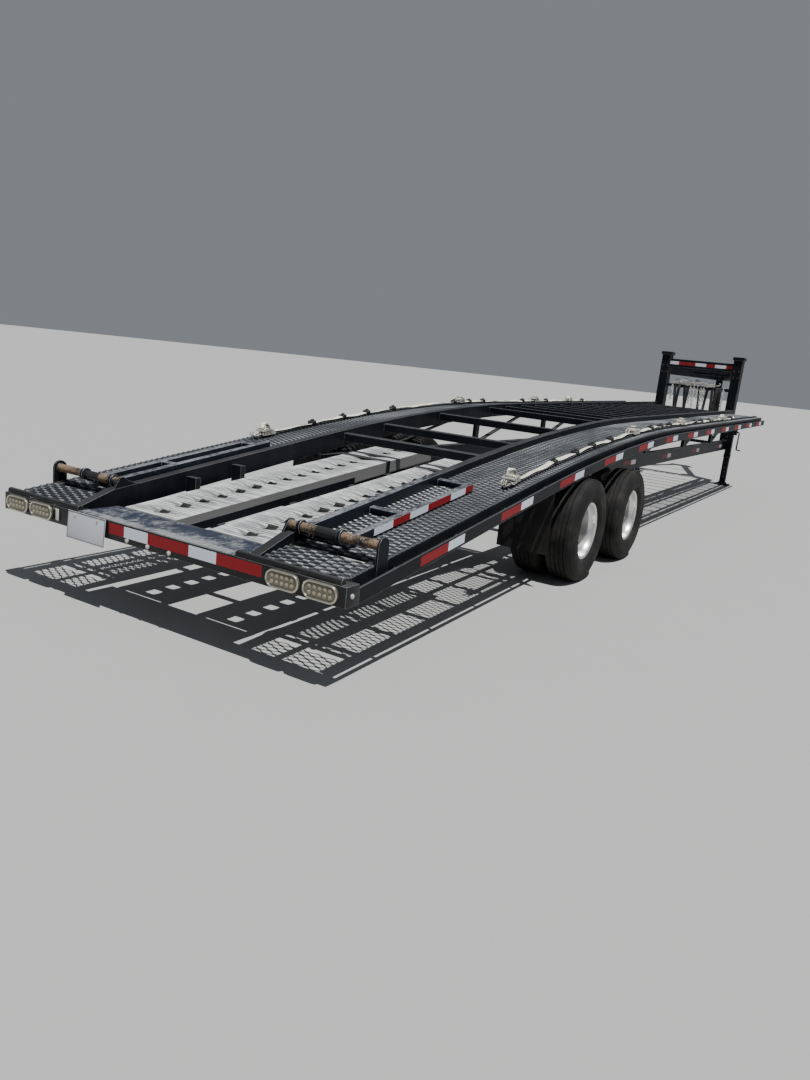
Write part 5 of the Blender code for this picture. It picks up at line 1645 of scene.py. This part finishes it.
@dataclass
class Ratchet:
    """Strap ratchet: two cheeks, drum, toothed wheels, folded handle, hook and the webbing on its drum."""

    half: float = 0.032
    plate: float = 0.004
    drum: Span = (0.092, 0.026)

    def _side(self, steel: Model, outline: Sequence[Span], x: float) -> list[Vert]:
        """Flat plate standing along the ratchet."""
        return steel.prism([(x, y, z) for y, z in outline], (self.plate if x > 0 else -self.plate, 0.0, 0.0))

    def add(self, steel: Model, webbing: Model, spot: Matrix, fold: float = 0.045) -> None:
        """Add one ratchet.

        Args:
            steel: Takes its metal parts.
            webbing: Takes its webbing.
            spot: Where its rear end stands.
            fold: Height of the webbing folded over it.
        """
        cheek = [(0.020, 0.002), (0.140, 0.002), (0.146, 0.012), (0.126, 0.034), (0.100, 0.046), (0.074, 0.047),
                 (0.050, 0.034), (0.024, 0.016)]
        arm = [(0.104, 0.026), (0.104, 0.040), (0.086, 0.051), (0.020, 0.049), (0.004, 0.043), (0.004, 0.034),
               (0.020, 0.037), (0.082, 0.038)]
        y, z = self.drum
        parts: list[Vert] = []
        for side in (1, -1):
            parts += self._side(steel, cheek, side * self.half)
            parts += self._side(steel, arm, side * (self.half + 0.0065))
            parts += steel.rod((side * (self.half - 0.005), y, z), (side * (self.half - 0.0005), y, z), 0.021, 14)
            hook = [(side * 0.017, 0.030, 0.012), (side * 0.017, 0.0, 0.010), (side * 0.016, -0.050, 0.010),
                    (side * 0.014, -0.072, 0.014), (side * 0.014, -0.084, 0.026), (side * 0.014, -0.078, 0.040),
                    (side * 0.014, -0.062, 0.045)]
            parts += steel.wire(hook, 0.0048, 8)
        parts += steel.cuboid((-self.half, 0.018, 0.001), (self.half, 0.070, 0.005), 0.001, 1)
        parts += steel.rod((-0.041, y, z), (0.041, y, z), 0.010, 16)
        parts += steel.rod((-0.040, 0.052, 0.024), (0.040, 0.052, 0.024), 0.0045, 10)
        parts += steel.rod((-0.040, 0.010, 0.0405), (0.040, 0.010, 0.0405), 0.0075, 14)
        steel.place(parts, spot)
        soft = webbing.rod((-0.025, y, z), (0.025, y, z), 0.019, 20)
        loop = [(y + 0.010, z + 0.018), (y - 0.006, z + 0.020 + fold * 0.35), (y - 0.030, z + 0.012 + fold * 0.8),
                (y - 0.052, z + fold * 0.85), (y - 0.068, z + fold * 0.45), (y - 0.058, z + 0.018),
                (y - 0.034, z + 0.026), (y - 0.012, z + 0.024)]
        soft += webbing.band([(0.002 * math.sin(i * 1.9), a, b) for i, (a, b) in enumerate(loop)], 0.046, 0.0028)
        webbing.place(soft, spot)


@dataclass
class StrapSets:
    """Webbing and ratchets along the strap rails, with rubber stops and hooks."""

    line: DeckLine
    at: Placer
    ratchet: Ratchet = field(default_factory=Ratchet)
    right: tuple[float, ...] = (1.90, 4.45, 6.28, 8.55)
    left: tuple[float, ...] = (2.00, 5.20, 7.30, 8.60)
    stops: tuple[float, ...] = (2.62, 3.05, 3.42, 3.86, 5.09, 5.45, 5.80, 6.95, 7.32, 7.75, 9.20)
    tail: float = 0.80
    rail_top: float = 0.0145
    rail_half: float = 0.020
    rail_lead: float = 0.045
    width: float = 0.038
    thick: float = 0.0028
    step: float = 0.025

    def _rail(self, label: str, x: float, start: float, end: float) -> None:
        """Slotted rail under one row of straps.

        Args:
            label: Side of the trailer.
            x: Middle of the rail.
            start: Where it starts.
            end: Where it ends.
        """
        model = Model()
        half, low, high = self.rail_half, 0.0003, self.rail_top - 0.0005
        section = [(-half, low), (half, low), (half, high - 0.002), (half - 0.002, high), (0.006, high),
                   (0.005, high - 0.004), (-0.005, high - 0.004), (-0.006, high), (0.002 - half, high),
                   (-half, high - 0.002)]
        bends = [start] + [y for y in self.line.stations if start < y < end] + [end]
        model.sweep(section, [standing(x, y, self.line.height(y)) for y in bends])
        Piece(f"slotted_rail_{label}", Finish.FRAME, replaced=(f"strap_rail_{label}",), smooth=30
              ).finish_model(model)

    def _ribbon(self, model: Model, x: float, start: float, end: float, phase: float) -> None:
        """Slack webbing that lies in waves along a rail.

        Args:
            model: Takes the webbing.
            x: Middle of the rail.
            start: Where the webbing starts.
            end: Where it ends.
            phase: Shifts its waves.
        """
        count = int((end - start) / self.step)
        path = []
        for i in range(count + 1):
            y = start + (end - start) * i / count
            wave = 0.5 + 0.5 * math.sin(7.3 * y + phase)
            lift = 0.0035 + 0.008 * wave * wave + 0.003 * (1 + math.sin(19.0 * y + phase))
            drift = 0.003 * math.sin(2.3 * y + phase) + 0.002 * math.sin(11.0 * y)
            path.append((x + drift, y, lift))
        verts = model.band(path, self.width, self.thick)
        for vert in verts:
            vert.co.z += (vert.co.x - x) * 0.20 * math.sin(5.1 * vert.co.y + phase)
            vert.co.z = max(vert.co.z, 0.0004)
        self.line.settle(verts, self.rail_top)

    def build(self) -> None:
        """Make the straps of both tracks."""
        for (label, side), stations in zip(SIDES, (self.right, self.left)):
            rail_low, rail_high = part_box(f"strap_rail_{label}")
            x = (rail_low.x + rail_high.x) / 2
            self._rail(label, x, self.at(stations[0]) - self.rail_lead, rail_high.y)
            steel, webbing, rubber = Model(), Model(), Model()
            end = self.at(stations[-1] + self.tail)
            self._ribbon(webbing, x, self.at(stations[0]) + 0.10, end, side * 1.3)
            for i, station in enumerate(stations):
                y = self.at(station)
                slope = Matrix.Rotation(math.atan(self.line.slope(y + 0.07)), 4, "X")
                sway = Matrix.Rotation(0.10 * math.sin(3.0 * i + side), 4, "Z")
                spot = Matrix.Translation((x, y, self.line.height(y) + self.rail_top)) @ slope @ sway
                self.ratchet.add(steel, webbing, spot, 0.072 if i == 0 else 0.040)
            hook = [(x, end - 0.02, 0.008), (x, end + 0.03, 0.008), (x + 0.01, end + 0.055, 0.012),
                    (x + 0.012, end + 0.066, 0.024), (x + 0.006, end + 0.058, 0.036)]
            self.line.settle(steel.wire(hook, 0.005), self.rail_top)
            for station in self.stops:
                y = self.at(station)
                verts = rubber.cuboid((x - 0.031, y, 0.0), (x + 0.026, y + 0.055, 0.030), 0.009, 3)
                verts += rubber.cuboid((x - 0.012, y + 0.012, 0.026), (x + 0.012, y + 0.040, 0.042), 0.006, 2)
                self.line.settle(verts, self.rail_top)
            ribbon = Piece(f"slack_webbing_{label}", Finish.WEBBING, "webbing", replaced=(f"straps_{label}",))
            ribbon.finish_model(webbing)
            Piece(f"strap_ratchets_{label}", Finish.ZINC, "webbing", smooth=30).finish_model(steel)
            Piece(f"rail_stops_{label}", Finish.KNOB).finish_model(rubber)


@dataclass
class FrontRack:
    """Chains, ratchets and folded webbing kept on the crossbar between the risers."""

    at: Placer
    back: float = 11.870
    bar_top: float = 1.570
    # place across, links
    chains: tuple[tuple[float, int], ...] = ((-0.41, 5), (-0.10, 6), (-0.045, 9), (0.015, 4), (0.075, 7), (0.12, 5),
                                             (0.44, 8))
    # place across, length, lean to the side
    bands: tuple[tuple[float, float, float], ...] = (
        (-0.36, 0.38, 0.03), (-0.29, 0.50, -0.02), (-0.20, 0.44, 0.04), (-0.14, 0.55, -0.03), (0.05, 0.47, 0.02),
        (0.18, 0.52, -0.03), (0.26, 0.40, 0.02), (0.34, 0.54, -0.02), (0.39, 0.42, 0.01))
    ratchets: tuple[float, ...] = (-0.34, -0.215, -0.13, -0.02, 0.09, 0.235)
    pitch: float = 0.043
    link_half: float = 0.013
    fold: float = 0.060

    def _link(self, model: Model, spot: Vector, turned: bool) -> None:
        """One chain link, hanging.

        Args:
            model: Takes the link.
            spot: Its middle.
            turned: Whether it stands across the one above.
        """
        before = set(model.bm.verts)
        made = bmesh.ops.create_circle(model.bm, segments=5, radius=0.0066, matrix=Matrix.Translation((0.0155, 0, 0)))
        ring = made["verts"]
        for vert in ring:
            vert.co = (vert.co.x, 0.0, vert.co.y)
        edges = list({edge for vert in ring for edge in vert.link_edges})
        bmesh.ops.spin(model.bm, geom=ring + edges, cent=(0, 0, 0), axis=(0, 0, 1), angle=2 * math.pi, steps=8,
                       use_merge=True)
        fresh = [vert for vert in model.bm.verts if vert not in before]
        bmesh.ops.remove_doubles(model.bm, verts=fresh, dist=1e-5)
        fresh = [vert for vert in model.bm.verts if vert not in before]
        for vert in fresh:
            vert.co.y += self.link_half if vert.co.y > 1e-6 else -self.link_half
        stand = Matrix.Rotation(math.pi / 2, 4, "X")
        turn = Matrix.Rotation(math.pi / 2 if turned else 0.0, 4, "Z")
        model.place(fresh, Matrix.Translation(spot) @ turn @ stand)

    def build(self) -> None:
        """Hang everything on the crossbar."""
        face = self.at(self.back)
        chain, webbing, steel = Model(), Model(), Model()
        for i, (x, links) in enumerate(self.chains):
            steel.wire([(x, face + 0.030, self.bar_top + 0.005), (x, face - 0.006, self.bar_top + 0.006),
                        (x, face - 0.014, self.bar_top - 0.02), (x, face - 0.013, self.bar_top - 0.055)], 0.005)
            for k in range(links):
                sway = 0.004 * math.sin(k * 0.9 + i)
                self._link(chain, Vector((x + sway, face - 0.013, self.bar_top - 0.062 - self.pitch * k)), bool(k % 2))
        for i, (x, length, lean) in enumerate(self.bands):
            path = [(x, face + 0.052, self.bar_top - 0.06), (x, face + 0.054, self.bar_top - 0.004),
                    (x, face + 0.046, self.bar_top + 0.004), (x, face + 0.004, self.bar_top + 0.004),
                    (x, face - 0.006, self.bar_top - 0.006)]
            for k in range(1, 9):
                share = k / 8
                wave = 0.012 * math.sin(2.6 * share + i)
                path.append((x + lean * share, face - 0.010 - wave, self.bar_top - length * share))
            webbing.band(path, 0.046, 0.0028)
        for i, x in enumerate(self.ratchets):
            turn = Matrix.Rotation(math.pi / 2, 4, "Z") @ Matrix.Rotation(0.25 * math.sin(2.1 * i), 4, "X")
            lift = Matrix.Translation((x + 0.06, face + 0.020, self.bar_top + 0.006 + 0.012 * (i % 2)))
            sway = Matrix.Rotation(math.radians(20 * math.sin(1.7 * i)), 4, "Z")
            Ratchet().add(steel, webbing, lift @ sway @ turn, self.fold)
        Piece("rack_chains", Finish.CHAIN, "webbing", smooth=60).finish_model(chain)
        Piece("rack_webbing", Finish.OLD_WEBBING, "webbing").finish_model(webbing)
        Piece("rack_ratchets", Finish.ZINC, "webbing", smooth=30).finish_model(steel)


@dataclass
class PlateMount:
    """Number plate with its raised rim and bolts, its bracket, and the small lamps of the bumper."""

    at: Placer
    tilt: float = math.radians(4.0)
    width: float = 0.305
    height: float = 0.152
    thick: float = 0.003
    bolt_x: float = 0.089
    bolt_z: float = -0.018
    rim: float = 0.004
    rim_wire: float = 0.0026
    # small lamps: the upright one beside the plate, and one on each end of the bumper
    upright_x: float = -0.736
    upright: Span = (0.442, 0.508)
    end_x: float = 1.2192
    end_place: Span = (0.044, 0.474)
    end_radius: float = 0.012

    def _plate(self, centre_x: float, top_z: float) -> None:
        """Plate, rim, bolts and bracket, leaning under the plate's top edge.

        Args:
            centre_x: Middle of the plate.
            top_z: Its top edge.
        """
        face, frame, bracket, bolts = Model(), Model(), Model(), Model()
        face.cuboid((-self.width / 2, -self.thick, -self.height), (self.width / 2, 0.0, 0.0), 0.0012)
        edge, top, bottom = self.width / 2 - self.rim, -self.rim, -self.height + self.rim
        corners = [Vector((x, -self.thick + 0.0008, z))
                   for x, z in ((-edge, top), (edge, top), (edge, bottom), (-edge, bottom))]
        for start, end in zip(corners, corners[1:] + corners[:1]):
            frame.rod(start, end, self.rim_wire, 10)
        for x in (-self.bolt_x, self.bolt_x):
            start = (x, -self.thick, self.bolt_z)
            bolts.rod(start, (x, -self.thick - 0.0045, self.bolt_z), 0.0065, 6)
            bolts.rod(start, (x, -self.thick - 0.0012, self.bolt_z), 0.0090, 16)
        bracket.cuboid((-self.width / 3, 0.0, -0.050), (self.width / 3, 0.0055, -0.002), 0.001, 1)
        lean = Matrix.Translation((centre_x, self.at(0.0) - 0.006, top_z)) @ Matrix.Rotation(-self.tilt, 4, "X")
        for model in (face, frame, bracket, bolts):
            model.place(model.bm.verts, lean)
        Piece("plate_blank", Finish.PLATE, "plate_white", replaced=("number_plate",)).finish_model(face)
        Piece("plate_frame", Finish.RIM, "plate_white").finish_model(frame)
        Piece("plate_bracket", Finish.FRAME).finish_model(bracket)
        Piece("plate_bolts", Finish.ZINC, smooth=30).finish_model(bolts)

    def build(self) -> None:
        """Make the plate and the small lamps."""
        low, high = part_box("number_plate")
        self._plate((low.x + high.x) / 2, high.z)
        lamps, rear, half = Model(), self.at(0.0), 0.013
        lamps.cuboid((self.upright_x - half, rear - 0.009, self.upright[0]),
                     (self.upright_x + half, rear, self.upright[1]), 0.006, 3)
        y, z = self.at(self.end_place[0]), self.end_place[1]
        for side in (1, -1):
            inside, middle, outside = (side * (self.end_x + out) for out in (-0.002, 0.005, 0.009))
            lamps.rod((inside, y, z), (middle, y, z), self.end_radius, 20)
            lamps.rod((middle, y, z), (outside, y, z), self.end_radius, 20, 0.007)
        Piece("end_lamps", Finish.GLASS).finish_model(lamps)


@dataclass
class AxleClamps:
    """U-bolts that clamp the springs to the axles, with their nuts and top plates."""

    centres: Spots
    axle_radius: float = 0.0635
    wire: float = 0.008
    spring: Span = (0.592, 0.668)
    pack_top: float = 0.500
    bolt_rise: float = 0.035
    nut: Span = (0.012, 0.026)
    nut_radius: float = 0.0145

    def build(self) -> None:
        """Make the clamps."""
        model = Model()
        for axle in AXLES:
            for label, side in SIDES:
                spot = self.centres[f"{axle}_{label}"]
                reach = self.axle_radius + self.wire
                for x in (self.spring[0] - 0.012, self.spring[1] + 0.012):
                    bend = arc(spot, reach, range(180, 361, 15))
                    top = self.pack_top + self.bolt_rise
                    path = [(spot.y - reach, top)] + bend + [(spot.y + reach, top)]
                    model.wire([(side * x, y, z) for y, z in path], self.wire, 8)
                    for y in (spot.y - reach, spot.y + reach):
                        nut = [(side * x, y, self.pack_top + rise) for rise in self.nut]
                        model.rod(*nut, self.nut_radius, 6)
                low_x, high_x = self.spring[0] - 0.026, self.spring[1] + 0.026
                model.cuboid((side * low_x, spot.y - 0.085, self.pack_top + 0.001),
                             (side * high_x, spot.y + 0.085, self.pack_top + 0.011), 0.002)
        Piece("axle_clamps", Finish.RUNNING, "running_gear", smooth=35).finish_model(model)


@dataclass
class JackGear:
    """Gearboxes, cranks, pins and foot gussets of the front jack legs."""

    foot_top: float = 0.020
    half: float = 0.045
    collar: Span = (0.46, 0.52)
    gearbox: Span = (0.84, 0.94)
    shaft_z: float = 0.89
    crank_radius: float = 0.012
    pins: tuple[float, ...] = (0.14, 0.22, 0.30, 0.38)

    def _crank(self, model: Model, side: int, out: float, y: float) -> None:
        """Gearbox with its shaft, crank and grip.

        Args:
            model: Takes them.
            side: 1 on the right, -1 on the left.
            out: Outer face of the leg.
            y: Middle of the leg.
        """
        box, z = out + side * 0.045, self.shaft_z
        model.cuboid((out, y - 0.035, self.gearbox[0]), (box, y + 0.035, self.gearbox[1]), 0.008)
        model.rod((box, y, z), (out + side * 0.075, y, z), 0.011, 16)
        model.wire([(out + side * 0.070, y, z), (out + side * 0.078, y, 0.875), (out + side * 0.078, y - 0.01, 0.62),
                    (out + side * 0.082, y - 0.01, 0.60)], self.crank_radius, 10)
        model.rod((out + side * 0.082, y - 0.01, 0.602), (out + side * 0.150, y - 0.01, 0.600), 0.0095, 12)

    def build(self) -> None:
        """Dress both legs."""
        for label, side in SIDES:
            low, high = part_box(f"front_leg_{label}")
            foot_half = (high.y - low.y) / 2
            y = (low.y + high.y) / 2
            x = side * (max(abs(low.x), abs(high.x)) - foot_half)
            model = Model()
            sleeve = self.half + 0.0055
            model.cuboid((x - sleeve, y - sleeve, self.collar[0]), (x + sleeve, y + sleeve, self.collar[1]), 0.004)
            self._crank(model, side, x + side * self.half, y)
            for z in self.pins:
                model.rod((x, y - 0.047, z), (x, y + 0.047, z), 0.010, 14)
            for way in (1, -1):
                gusset = [(0.040, self.foot_top), (0.090, self.foot_top), (0.045, 0.062), (0.040, 0.062)]
                model.prism([(x - 0.004, y + way * out, z) for out, z in gusset], (0.008, 0.0, 0.0))
                model.prism([(x + way * out, y - 0.004, z) for out, z in gusset], (0.0, 0.008, 0.0))
            Piece(f"jack_gear_{label}", Finish.FRAME, smooth=35).finish_model(model)


@dataclass
class Ironwork:
    """Tie rings under the rub rails and bolts on the front risers."""

    line: DeckLine
    at: Placer
    ring_first: float = 0.765
    ring_pitch: float = 1.22
    rings: int = 9
    ring_inset: float = 0.060
    ring_drop: float = 0.102
    riser_back: float = 11.850
    bolt_xs: tuple[float, ...] = (0.555, 0.630)
    bolt_zs: tuple[float, ...] = (0.70, 0.78, 1.755, 1.865)

    def build(self) -> None:
        """Dress the frame."""
        model, bolts = Model(), Model()
        # along the trailer, up
        bend = ((-0.022, 0.004), (-0.020, -0.020), (0.0, -0.032), (0.020, -0.020), (0.022, 0.004))
        back = self.at(self.riser_back)
        for label, side in SIDES:
            low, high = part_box(f"rub_rail_{label}")
            x = (high.x if side > 0 else low.x) - side * self.ring_inset
            for i in range(self.rings):
                y = self.at(self.ring_first + self.ring_pitch * i)
                z = self.line.height(y) - self.ring_drop
                model.wire([(x, y + along, z + up) for along, up in bend], 0.006, 8)
            for z in self.bolt_zs:
                for bolt_x in self.bolt_xs:
                    start = (side * bolt_x, back, z)
                    bolts.rod(start, (side * bolt_x, back - 0.009, z), 0.0125, 6)
                    bolts.rod(start, (side * bolt_x, back - 0.002, z), 0.017, 20)
        Piece("tie_rings", Finish.FRAME).finish_model(model)
        Piece("frame_bolts", Finish.RUNNING, "running_gear", smooth=30).finish_model(bolts)


@dataclass
class Trailer:
    """The whole dressed trailer."""

    frame: dict
    stations: Stations = field(default_factory=Stations.from_frame)

    def _joint_places(self, kind: str) -> Spots:
        """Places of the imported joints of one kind.

        Args:
            kind: How their names start.

        Returns:
            Each place by the rest of the joint's name.
        """
        joints = [joint for joint in self.frame["joints"] if joint["name"].startswith(kind)]
        return {joint["name"].removeprefix(kind): Vector(joint["pos_m"]) for joint in joints}

    def _dress_nodes(self) -> None:
        """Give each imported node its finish."""
        slots = {part["node"]: part["material_slot"] for part in self.frame["record"]["subparts"]}
        for name, node in self.frame["nodes"].items():
            finish = NODE_FINISH.get(name) or SLOT_FINISH[slots[name]]
            node.data.materials.clear()
            node.data.materials.append(finish.material())

    def build(self) -> None:
        """Make every piece in order."""
        self._dress_nodes()
        line = DeckLine(self.frame["nodes"]["deck_mesh_right"])
        LOG.info("deck line bends at %s", [round(y, 3) for y in line.stations])
        at = self.stations.at
        centres = self._joint_places("wheel_spin_")
        pivots = self._joint_places("flip_hinge_")
        sheets = ExpandedMesh(line, at)
        for part in (sheets, ReflectiveStrips(line, at), RibbedRamps(at), FlipRamps(sheets, at, pivots),
                     HingePipes(line, at, pivots), StrapSets(line, at), TyreSet(centres), WheelSet(centres),
                     AxleClamps(centres), RearLamps(at), PlateMount(at), FrontRack(at), JackGear(),
                     Ironwork(line, at)):
            LOG.info("building %s", type(part).__name__)
            part.build()


@dataclass
class Studio:
    """Floor, lights and camera."""

    camera_place: tuple[float, float, float] = (3.1032, -9.7013, 1.5058)
    yaw: float = math.radians(-30.24)
    pitch: float = math.radians(12.56)
    roll: float = math.radians(6.08)
    lens: float = 26.973
    sensor: float = 36.0
    sun: tuple[float, float, float] = (0.286, -0.183, 1.0)
    sun_energy: float = 5.4
    sun_angle: float = math.radians(0.6)
    sky: Colour = (0.80, 0.86, 0.95)
    sky_strength: float = 0.26
    floor_radius: float = 160.0

    def _camera(self) -> None:
        """Camera at the photograph's viewing angle."""
        ahead = Vector((math.sin(self.yaw) * math.cos(self.pitch), math.cos(self.yaw) * math.cos(self.pitch),
                        -math.sin(self.pitch)))
        across = Vector((math.cos(self.yaw), -math.sin(self.yaw), 0.0))
        above = across.cross(ahead)
        right = across * math.cos(self.roll) + above * math.sin(self.roll)
        up = above * math.cos(self.roll) - across * math.sin(self.roll)
        data = bpy.data.cameras.new("camera")
        data.sensor_fit = "VERTICAL"
        data.sensor_height = self.sensor
        data.lens = self.lens
        data.clip_end = 500.0
        camera = shown("camera", data)
        camera.matrix_world = Matrix.Translation(self.camera_place) @ Matrix((right, up, -ahead)).transposed().to_4x4()
        bpy.context.scene.camera = camera

    def _lights(self) -> None:
        """Soft key from above on the right and an even pale surround."""
        data = bpy.data.lights.new("key", "SUN")
        data.energy = self.sun_energy
        data.angle = self.sun_angle
        key = shown("key", data)
        key.rotation_euler = Vector(self.sun).to_track_quat("Z", "Y").to_euler()
        world = bpy.data.worlds.new("surround")
        world.use_nodes = True
        background = world.node_tree.nodes["Background"]
        background.inputs["Color"].default_value = (*self.sky, 1.0)
        background.inputs["Strength"].default_value = self.sky_strength
        bpy.context.scene.world = world

    def _floor(self) -> None:
        """Plain pale floor."""
        model = Model()
        bmesh.ops.create_circle(model.bm, cap_ends=True, segments=96, radius=self.floor_radius)
        mesh = model.mesh("floor")
        mesh.materials.append(Finish.FLOOR.material())
        floor = shown("floor", mesh)
        floor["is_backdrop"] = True

    def build(self) -> None:
        """Set the studio."""
        self._camera()
        self._lights()
        self._floor()


def corners() -> list[list[float]]:
    """Corners of the shown object as plain lists."""
    return [list(corner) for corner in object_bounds()]


def main() -> None:
    """Load the frame, set up the studio and dress the trailer."""
    logging.basicConfig(level=logging.INFO, format="%(name)s %(message)s")
    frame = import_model()
    Studio().build()
    Trailer(frame).build()


if __name__ == "__main__":
    main()
